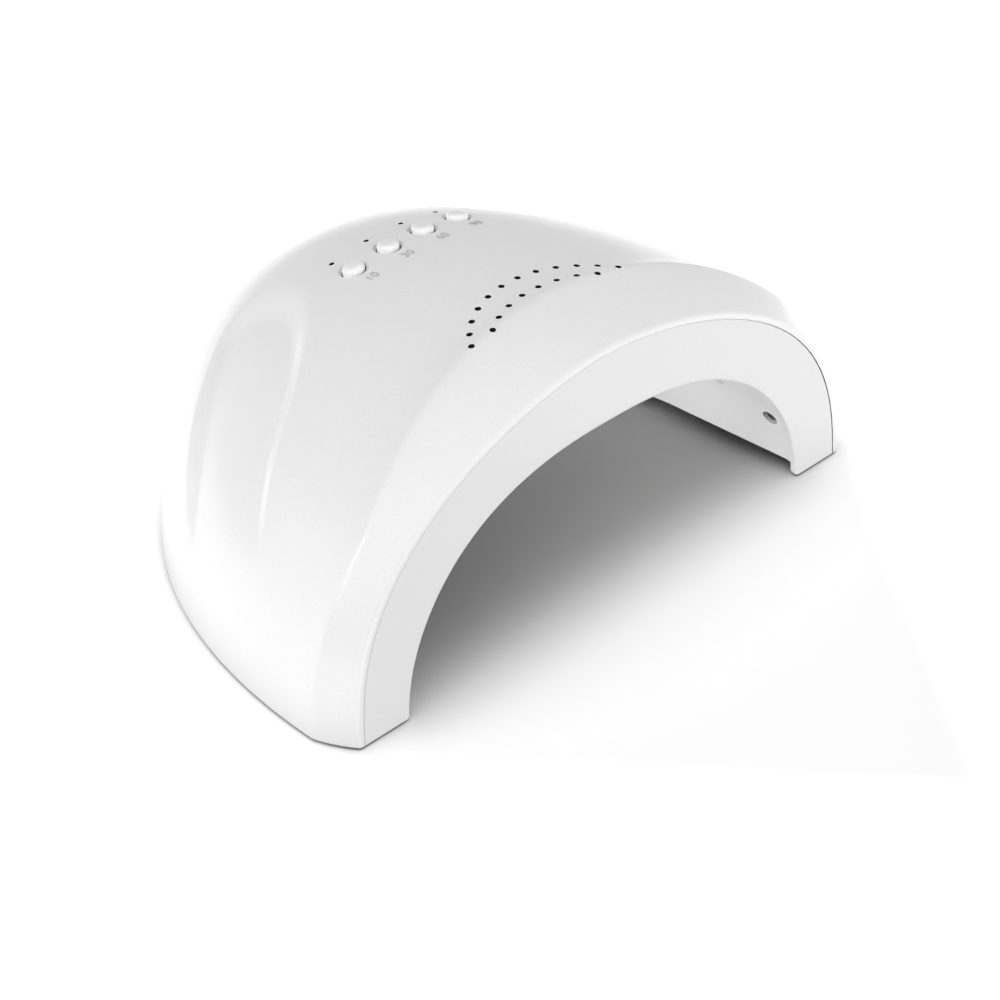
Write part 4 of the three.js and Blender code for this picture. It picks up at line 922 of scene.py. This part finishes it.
def lamp_boards():
    """Each lamp board's name, place, width, length and emitter places."""
    length = LAMP_ROW[1] - LAMP_ROW[0]
    middle = (LAMP_ROW[0] + LAMP_ROW[1]) / 2
    side = [(0, y) for y in emitter_row(length, SIDE_PITCH)]
    upper = [(0, y) for y in emitter_row(length, UPPER_PITCH)]
    top = [(x, y) for _, y in upper for x in (-TOP_SPREAD / 2, TOP_SPREAD / 2)]
    rear = [(x, 0) for x in emitter_row(REAR_BOARD_WIDTH, UPPER_PITCH)]
    rear_y = tunnel_end(LINER_WALL, REAR_HEIGHT)
    rows = [
        ("left", -SIDE_TURN, middle, BOARD_WIDTH, length, side),
        ("right", SIDE_TURN, middle, BOARD_WIDTH, length, side),
        ("upper_left", -UPPER_TURN, middle, BOARD_WIDTH, length, upper),
        ("upper_right", UPPER_TURN, middle, BOARD_WIDTH, length, upper),
        ("top", 0.0, middle, TOP_BOARD_WIDTH, length, top),
        ("rear", 0.0, rear_y, REAR_BOARD_WIDTH, BOARD_WIDTH, rear),
    ]
    return [(name, shifted(tunnel_place(y, turn), 0, 0, STANDOFF), wide, long, spots)
            for name, turn, y, wide, long, spots in rows]


def sensor_places():
    """The two halves of the hand sensor, facing each other across the mouth."""
    crown = tunnel_crown(SENSOR_SETBACK, LINER_WALL)
    limit = np.arccos((FLOOR_GAP / crown) ** (MOUTH_TOP / 2))
    turn = np.arccos((SENSOR_HEIGHT / crown) ** (MOUTH_TOP / 2)) / limit
    return {"emitter": tunnel_place(SENSOR_SETBACK, -turn), "receiver": tunnel_place(SENSOR_SETBACK, turn)}


def tunnel_under(place, x, y):
    """Height of the tunnel's outer face under a point of a board, in the board's own frame, by halving."""
    low, high = -TUNNEL_DEPTH / 4, STANDOFF
    for _ in range(BOSS_HALVINGS):
        middle = (low + high) / 2
        point = moved(np.array([x, y, middle]), place)
        across = abs(point[0]) / max(tunnel_half_width(point[1], LINER_WALL), SEAM)
        above = point[2] / max(tunnel_crown(point[1], LINER_WALL), SEAM)
        outside = across**MOUTH_SIDE + above**MOUTH_TOP > 1
        low, high = (low, middle) if outside else (middle, high)
    return low


def liner_ears():
    """The screw ears beside the tunnel: a disc round each screw and a tongue that reaches into the wall."""
    low, high = BASE_TOP + SEAM, BASE_TOP + SEAM + EAR_WALL
    ears, reach = [], np.linspace(0, HOOD_WIDTH / 2, EAR_STEPS)
    for x, y in CASE_SCREWS:
        inward = unit(np.array([-x, min(0, TUNNEL_STRAIGHT - y), 0]))
        line = np.array([x, y, 0]) + reach[:, None] * inward
        within = np.abs(line[:, 0]) < tunnel_half_width(line[:, 1], LINER_WALL * (1 - EAR_BITE))
        length = reach[np.argmax(within)]
        place = place_at((x, y, 0), (0, 0, 1), inward)
        ears.append(rod(EAR_WIDTH, low, high, upright(x, y), ROUND_FACETS))
        ears.append(slab((0, -EAR_WIDTH / 2, low), (length, EAR_WIDTH / 2, high), place))
    return ears


def lamp_bosses():
    """Two bosses under each lamp board, at opposite corners, from the tunnel's wall to just short of the
    board."""
    bosses = []
    for _, place, wide, long, _ in lamp_boards():
        for side in (-1, 1):
            x, y = side * (wide / 2 - LAMP_BOSS_INSET), side * (long / 2 - LAMP_BOSS_INSET)
            low = tunnel_under(place, x, y) - LINER_WALL / 2
            bosses.append(rod(LAMP_BOSS, low, -SEAM, shifted(place, x, y)))
    return bosses


def make_liner():
    """The flat front face and the tunnel in one moulding, with a rounded mouth, a recessed underside and
    holes for emitters and sensor."""
    face, tunnel, columns = (LINER_CELLS[key] for key in ("face", "tunnel", "round"))
    turns = np.linspace(-1, 1, columns * FINER + 1)

    def sheet(turns, face_rows, tunnel_rows, outset, back, edge):
        """One side of the moulding: the face from its rim to the mouth, and the tunnel from there back."""
        rim = face_point(turns, COVER_RIM + FACE_SEAM) + [0, back, 0]
        mouth = tunnel_point(0.0, turns, outset)
        mouth[:, 1] = mouth[:, 2] * FACE_RAKE + back
        share = np.linspace(0, 1, face_rows + 1)[:, None, None]
        front = rim + (mouth - rim) * share
        start = mouth[:, 1] + edge
        share = 1 - (1 - np.linspace(0, 1, tunnel_rows + 1)[:, None]) ** 2
        inside = tunnel_point(start + (tunnel_end(outset) - start) * share, turns[None, :], outset)
        return front, inside

    front, inside = sheet(turns, face * FINER, tunnel * FINER, 0.0, 0.0, MOUTH_EDGE)
    mouth = rolled(front[-1], unit(front[-2] - front[-1]), unit(inside[0] - front[-1]), MOUTH_EDGE)
    shown = np.concatenate([front[:-1], mouth[:-1], inside])
    back_front, back_inside = sheet(turns[::FINER], face, tunnel, LINER_WALL, FLANGE_WALL, 0.0)
    hidden = np.concatenate([back_front, back_inside[1:]])
    inward = np.array([[[1.0, 0, 0]], [[-1.0, 0, 0]]]).repeat(len(shown), 1)
    shown = roll_feet(shown, (shown[:, 0] - inward[0], shown[:, -1] - inward[1]), FOOT_EDGE)
    rim = rolled(shown[0], unit(shown[1] - shown[0]), np.array([0.0, 1.0, 0.0]), LINER_EDGE)
    shown = np.concatenate([rim[::-1], shown[1:]])
    column_stops = coarse_stops(columns, shown.shape[1] - 1)
    face_stops = [EDGE_STEPS + FINER * i for i in range(1, face + 1)]
    tunnel_stops = [2 * EDGE_STEPS + FINER * i for i in range(face + 1, face + tunnel)]
    row_stops = [0, *face_stops, *tunnel_stops, shown.shape[0] - 1]
    liner = make_object("inner_shell", *closed_wall(shown, hidden, row_stops, column_stops))
    cut(liner, [slab((-HOOD_WIDTH, FLANGE_BACK, -REACH), (HOOD_WIDTH, 2 * HOOD_DEPTH, BASE_RECESS))])
    sockets = [rod(SENSOR_SOCKET, -LINER_WALL / 2, SENSOR_LENGTH, place, ROUND_FACETS)
               for place in sensor_places().values()]
    for body in (*liner_ears(), *lamp_bosses(), *sockets):
        cut(liner, [body], "UNION")
    tools = [rod(EMITTER_HOLE, -REACH * 3, REACH, shifted(place, x, y))
             for _, place, _, _, spots in lamp_boards() for x, y in spots]
    tools += [rod(SENSOR_HOLE, -REACH * 2, REACH * 2, place) for place in sensor_places().values()]
    tools += [rod(SCREW_BORE, 0, BASE_TOP + REACH * 2, upright(x, y)) for x, y in CASE_SCREWS]
    cut(liner, tools)
    seat(liner, "liner_satin", "inner_liner")


def make_buttons():
    """The domed caps, each with its retaining flange and stem, in place on its own body."""
    for i, x in enumerate(BUTTON_PLACES):
        radius = BUTTON_FLANGE / 2
        ceiling = min(panel_drop(x + dx, dy, COVER_WALL) for dx, dy in
                      ((-radius, 0), (radius, 0), (0, radius), (0, -radius)))
        flange = ceiling - BUTTON_FLANGE_DROP
        rim = panel_drop(x, 0) + BUTTON_PROUD
        low = -CONTROL_DROP + SWITCH_TOP + PLUNGER_RISE + SEAM
        side = BUTTON_WIDTH / 2
        shoulder, rise = rim - BUTTON_SHOULDER, BUTTON_DOME + BUTTON_SHOULDER
        profile = [
            [0, low],
            [BUTTON_STEM / 2, low],
            [BUTTON_STEM / 2, flange - BUTTON_FLANGE_WALL],
            [radius, flange - BUTTON_FLANGE_WALL],
            [radius, flange],
            [side, flange],
            *dome(side, shoulder, rise, CAP_STEPS, BUTTON_DOME_POWER),
        ]
        name = "button_%d" % (i + 1)
        body = on_hood(turned(profile, shifted(PANEL, x, 0)), x, 0, flange + SEAM)
        cap = make_object(name + "_dome", *body)
        seat(cap, "button_white", "button_cap_%d" % (i + 1), body=name)


def frame_outline(turns):
    """Outer and inner outline of the base frame from above, as a turn runs from foot to foot. Beside the
    tunnel both run straight; behind it the inner one is a half ellipse and the outer one follows the hood."""
    turn = np.abs(turns)
    swing = np.clip(turn / FRAME_BEND, 0, 1) * np.pi / 2
    start = np.clip((turn - FRAME_BEND) / (1 - FRAME_BEND), 0, 1)
    y = TUNNEL_STRAIGHT + (FRAME_FRONT - TUNNEL_STRAIGHT) * start
    gap = COVER_WALL + BASE_CLEARANCE
    inner_y = y + (TUNNEL_DEPTH + LINER_WALL + BASE_CLEARANCE - TUNNEL_STRAIGHT) * np.cos(swing)
    outer_y = y + (HOOD_DEPTH - gap - TUNNEL_STRAIGHT) * np.cos(swing)
    inner_x = (TUNNEL_WIDTH / 2 + LINER_WALL + BASE_CLEARANCE) * np.sin(swing)
    ridge = hood_half_width(RIDGE_AT_FOOT, gap)
    face = FACE_WIDTH / 2 - COVER_RIM - BASE_CLEARANCE
    band = face + (ridge - face) * outer_y / RIDGE_AT_FOOT
    outer_x = np.minimum(hood_half_width(outer_y, gap), band)
    side = np.sign(turns)
    return points_of(side * outer_x, outer_y), points_of(side * inner_x, inner_y)


def make_base():
    """The horseshoe plate: a rounded oblong section carried from foot to foot, with the inlet's cradle, screw
    holes and foot pockets."""
    outer, inner = frame_outline(np.linspace(-1, 1, 2 * FRAME_COLUMNS + 1))
    across = unit(outer - inner) * FRAME_EDGE
    low, high = BASE_RECESS, BASE_TOP
    section = [
        (inner + across, low),
        (outer - across, low),
        (outer, low + FRAME_EDGE),
        (outer, high - FRAME_EDGE),
        (outer - across, high),
        (inner + across, high),
        (inner, high - FRAME_EDGE),
        (inner, low + FRAME_EDGE),
    ]
    lines = [np.column_stack([line, np.full(len(line), z)]) for line, z in section]
    grid = np.stack([*lines, lines[0]], axis=1)
    rows, columns = grid.shape[:2]
    index = np.arange(rows * columns).reshape(rows, columns)
    faces = grid_quads(rows, columns) + [index[0, :-1].tolist(), index[-1, :-1].tolist()]
    base = make_object("base_plate", grid.reshape(-1, 3), faces)
    inlet = inlet_place()
    wide, seat_height = JACK_BODY / 2 + SEAM, inlet[2, 3] - JACK_BODY / 2 - SEAM
    back, front = inlet[1, 3] - CRADLE_WALL, inlet[1, 3] - JACK_LENGTH + CRADLE_WALL
    outside = wide + CRADLE_WALL
    cradle = slab((-outside, front, (low + high) / 2), (outside, back, seat_height + CRADLE_HEIGHT))
    cut(base, [cradle], "UNION")
    slot = slab((-wide, front - REACH, seat_height), (wide, back + REACH, HOOD_HEIGHT))
    holes = [rod(SCREW_BORE, 0, high + REACH, upright(x, y)) for x, y in CASE_SCREWS]
    pockets = [rod(FOOT_WIDTH + 2 * SEAM, 0, low + FOOT_POCKET, upright(x, y), ROUND_FACETS)
               for x, y in FEET]
    cut(base, [slot, *holes, *pockets])
    seat(base, "base_satin", "base_frame")


def make_feet():
    """Round rubber pads with a rounded tread edge and a shallow dimple in the tread."""
    radius, top = FOOT_WIDTH / 2, BASE_RECESS + FOOT_POCKET - SEAM
    edge = np.array(dome(TREAD_EDGE, TREAD_EDGE, -TREAD_EDGE, TREAD_STEPS)) + [radius - TREAD_EDGE, 0]
    profile = [*TREAD_DIMPLE, *edge[::-1], [radius, top], [0, top]]
    for i, (x, y) in enumerate(FEET):
        foot = make_object("foot_pad_%d" % (i + 1), *turned(profile, upright(x, y)))
        seat(foot, "soft_rubber", "rubber_foot_%d" % (i + 1))


def make_screws():
    """Pan-head screws: a domed head with a cross recess, and a shank with rings for its thread."""
    head, shank = SCREW_HEAD / 2, SCREW_SHANK / 2
    root = shank - THREAD_DEPTH
    pan = SCREW_HEAD_HEIGHT * PAN_SHARE
    top = dome(head, pan - SCREW_HEAD_HEIGHT, -pan, SCREW_STEPS)
    turns = int((SCREW_LENGTH - SCREW_POINT) / THREAD_PITCH)
    thread = [[radius, (i + share) * THREAD_PITCH]
              for i in range(turns) for radius, share in zip((root, shank, root), THREAD_SHARES)]
    profile = [*reversed(top), [head, 0], *thread, [0, SCREW_LENGTH]]
    for i, (x, y) in enumerate(CASE_SCREWS):
        place = upright(x, y, BASE_RECESS - SEAM)
        screw = make_object("pan_screw_%d" % (i + 1), *turned(profile, place))
        low, high = -SCREW_HEAD_HEIGHT - REACH, CROSS_DEPTH - SCREW_HEAD_HEIGHT
        arms = [(CROSS_LENGTH / 2, CROSS_WIDTH / 2), (CROSS_WIDTH / 2, CROSS_LENGTH / 2)]
        for a, b in arms:
            cut(screw, [slab((-a, -b, low), (a, b, high), place)])
        seat(screw, "steel", "case_screw_%d" % (i + 1))


def make_lamp_rows():
    """Each lamp board as a thin plate with eased edges, its emitters as one piece of domed clear lenses."""
    radius, rim = EMITTER_WIDTH / 2, EMITTER_WIDTH / 2 + EMITTER_RIM
    profile = [
        [0, -EMITTER_LIFT],
        [rim, -EMITTER_LIFT],
        [rim, -EMITTER_RIM_WALL],
        [radius, -EMITTER_RIM_WALL - EMITTER_RIM_EASE],
        *dome(radius, -EMITTER_LENGTH, -EMITTER_DOME, LENS_STEPS),
    ]
    for name, place, wide, long, spots in lamp_boards():
        low, high = (-wide / 2, -long / 2, 0), (wide / 2, long / 2, BOARD_WALL)
        plate = eased_box(name + "_led_plate", low, high, place, BOARD_EDGE)
        seat(plate, "circuit_white", name + "_led_board")
        lenses = [turned(profile, shifted(place, x, y), HOLE_FACETS) for x, y in spots]
        beads = make_object(name + "_led_lenses", *together(*lenses))
        seat(beads, "clear_resin")


def make_sensor():
    """The two halves of the hand sensor, each a round body with a domed front in its socket."""
    radius, front = SENSOR_WIDTH / 2, SEAM - LINER_WALL
    rise = radius * SENSOR_DOME_SHARE
    profile = [[0, SENSOR_LENGTH], [radius, SENSOR_LENGTH], *dome(radius, front + rise, -rise, SENSOR_STEPS)]
    slots = {"emitter": "clear_resin", "receiver": "black_resin"}
    for half, place in sensor_places().items():
        lens = make_object("ir_%s_lens" % half, *turned(profile, place))
        seat(lens, slots[half], "ir_" + half)


def make_inlet():
    """The inlet: a square body with eased edges, a round nose with its bore, and a steel pin in the bore."""
    place = inlet_place()
    _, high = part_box("power_inlet")
    nose = high.y / MM + HOOD_DEPTH / 2 - place[1, 3]
    half, radius, bore = JACK_BODY / 2, JACK_NOSE / 2, JACK_BORE / 2
    deep, low, eased_nose = nose - JACK_BORE_DEPTH, -JACK_CLEARANCE, nose - JACK_EDGE
    socket = eased_box("inlet_socket", (-half, -half, -JACK_LENGTH), (half, half, 0), place, JACK_EDGE)
    barrel = [[0, low], [radius, low], [radius, eased_nose], [radius - JACK_EDGE, nose], [0, nose]]
    cut(socket, [turned(barrel, place)], "UNION")
    hollow = [
        [0, deep],
        [bore, deep],
        [bore, eased_nose],
        [bore + JACK_EDGE, nose],
        [bore + JACK_EDGE, nose + REACH],
        [0, nose + REACH],
    ]
    cut(socket, [turned(hollow, place)])
    seat(socket, "black_resin", "power_inlet")
    pin, tip = JACK_PIN / 2, nose - JACK_PIN_SET_IN
    profile = [[0, deep], [pin, deep], [pin, tip - JACK_EDGE], [pin - JACK_EDGE, tip], [0, tip]]
    made = make_object("inlet_pin", *turned(profile, place, HOLE_FACETS))
    seat(made, "steel")


def make_prints():
    """Plain numbers printed in grey in front of the buttons, laid on the hood's curve."""
    ink = grained("button_print", (0.58, 0.58, 0.59), 0.5, 0.2, 0.3, 0.001)
    for i, (x, word) in enumerate(zip(BUTTON_PLACES, PRINT_WORDS)):
        curve = bpy.data.curves.new("print_%d" % (i + 1), "FONT")
        curve.body = word
        curve.align_x, curve.align_y = "CENTER", "CENTER"
        curve.resolution_u = PRINT_STEPS
        flat = add_object("flat_print", curve)
        mesh = finished_mesh(flat)
        bpy.data.objects.remove(flat)
        points = read_vectors(mesh.vertices, "co")
        size = PRINT_HEIGHT / (points[:, 1].max() - points[:, 1].min())
        middle = (points.max(0) + points.min(0)) / 2
        placed = moved((points - middle) * size + [x, -PRINT_SETBACK, 0], PANEL)
        placed[:, 2] = hood_top(placed[:, 0], placed[:, 1]) + PRINT_LIFT
        mesh.vertices.foreach_set("co", to_frame(placed).ravel())
        seat(add_object("print_%d" % (i + 1), mesh), "base_satin", finish=ink)


make_cover()
make_liner()
make_buttons()
make_base()
make_feet()
make_screws()
make_lamp_rows()
make_sensor()
make_inlet()
make_prints()


def make_camera():
    """The camera at the photograph's place, level, looking along its own line."""
    data = bpy.data.cameras.new("camera")
    data.lens, data.sensor_width = CAMERA_LENS, CAMERA_SENSOR
    camera = add_object("camera", data)
    back = Vector(CAMERA_BACK).normalized()
    across = Vector((0, 0, 1)).cross(back).normalized()
    turn = Matrix((across, back.cross(across), back)).transposed()
    camera.matrix_world = Matrix.Translation(CAMERA_PLACE) @ turn.to_4x4()
    bpy.context.scene.camera = camera


def make_light(name, place, aim, size, level, in_gloss, lit):
    """A soft square lamp that faces its aim and lights only some objects. Its level is the brightness that it
    alone gives to white paper held square to it: power = level x pi^2 x distance^2."""
    data = bpy.data.lights.new(name, "AREA")
    towards = Vector(aim) - Vector(place)
    data.size, data.energy = size, level * np.pi**2 * towards.length_squared
    lamp = add_object(name, data)
    lamp.location = place
    lamp.visible_glossy = in_gloss
    lamp.rotation_euler = towards.to_track_quat("-Z", "Y").to_euler()
    receivers = bpy.data.collections.new("lit_by_" + name)
    for made in lit:
        receivers.objects.link(made)
    lamp.light_linking.receiver_collection = receivers
    return lamp


def make_lights():
    """The lamps around the hood, each for the pieces or the floor, and a small one for the glow of the
    tunnel's own emitters. It lights the liner and the lenses, and leaves the floor in shadow."""
    meshes = [made for made in bpy.context.scene.objects if made.type == "MESH"]
    lit = {
        "floor": [made for made in meshes if made.name == "floor"],
        "pieces": [made for made in meshes if made.name != "floor"],
    }
    for name, place, size, level, in_gloss, lights in LAMPS:
        make_light(name, place, LAMP_AIM, size, level, in_gloss, lit[lights])
    in_tunnel = [made for made in meshes
                 if made.name == "inner_shell" or made.name.endswith(("_led_lenses", "_lens"))]
    lamp = make_light("tunnel_lamp", TUNNEL_LAMP_PLACE, TUNNEL_LAMP_AIM, TUNNEL_LAMP_SIZE, TUNNEL_LAMP_LEVEL,
                      False, in_tunnel)
    lamp.data.spread = np.radians(TUNNEL_LAMP_BEAM)


def make_floor():
    """A wide pale floor that keeps the shadow. Under the hood its grey is darker: painted shade that deepens
    the shadow in the tunnel. It is also darker for the light that it throws back, or the hood would be lit
    too strongly from below. Where it is seen, directly or in gloss, it glows outside the hood's outline, so
    that it runs out into the white background. The outline's share is sqrt((x/a)^2 + (y/b)^2) behind the
    mouth, and grows faster in front of it."""
    made = Finish("floor", (FLOOR_GREY,) * 3, 0.5)
    x = made.node("SeparateXYZ", {}, "X", Vector=made.where) * (2 / (HOOD_WIDTH * MM))
    behind = made.node("SeparateXYZ", {}, "Y", Vector=made.where) + HOOD_DEPTH / 2 * MM
    y = behind.math("MAXIMUM", 0.0) * (1 / (HOOD_DEPTH * MM))
    ahead = (behind * -1).math("MAXIMUM", 0.0)
    away = (x * x + y * y).math("SQRT") + ahead * GLOW_RUN
    # Painted shade: the floor's colour turns darker under the hood, the more so deeper behind the mouth.
    shade = made.ramp(behind, *(depth * MM for depth in PAINTED_SHADE_DEPTHS)) * made.ramp(away, *PAINTED_SHADE_FADE)
    glow = made.ramp(away, *GLOW_FADE) * GLOW_LEVEL
    seen = made.ray("Is Camera Ray").math("MAXIMUM", made.ray("Is Glossy Ray"))
    paper = made.mixed((BOUNCE_GREY,) * 3, (FLOOR_GREY,) * 3, seen)
    made.set("Base Color", made.mixed(paper, (PAINTED_SHADE_GREY,) * 3, shade))
    made.set("Emission Color", made.mixed((0, 0, 0), (1, 1, 1), glow * seen))
    made.set("Emission Strength", 1.0)
    mesh = bpy.data.meshes.new("floor")
    corners = [(x * FLOOR_SIZE, y * FLOOR_SIZE, 0) for x, y in ((-1, -1), (1, -1), (1, 1), (-1, 1))]
    mesh.from_pydata(corners, [], [(0, 1, 2, 3)])
    floor = add_object("floor", mesh)
    floor.data.materials.append(made.material)


def make_world():
    """A white room: plain white to the camera and in reflections, and a softer level as light."""
    world = bpy.data.worlds.new("world")
    bpy.context.scene.world = world
    world.use_nodes = True
    tree = world.node_tree
    rays = tree.nodes.new("ShaderNodeLightPath")
    seen = Shade(tree, rays.outputs["Is Camera Ray"])
    seen = seen.math("MAXIMUM", Shade(tree, rays.outputs["Is Glossy Ray"]))
    seen = seen.math("MAXIMUM", Shade(tree, rays.outputs["Is Transmission Ray"]))
    background = tree.nodes["Background"]
    background.inputs["Color"].default_value = (1, 1, 1, 1)
    link(tree, background.inputs["Strength"], seen * (1 - ROOM_LEVEL) + ROOM_LEVEL)


make_camera()
make_floor()
make_world()
make_lights()
bpy.context.scene.view_settings.view_transform = "Standard"
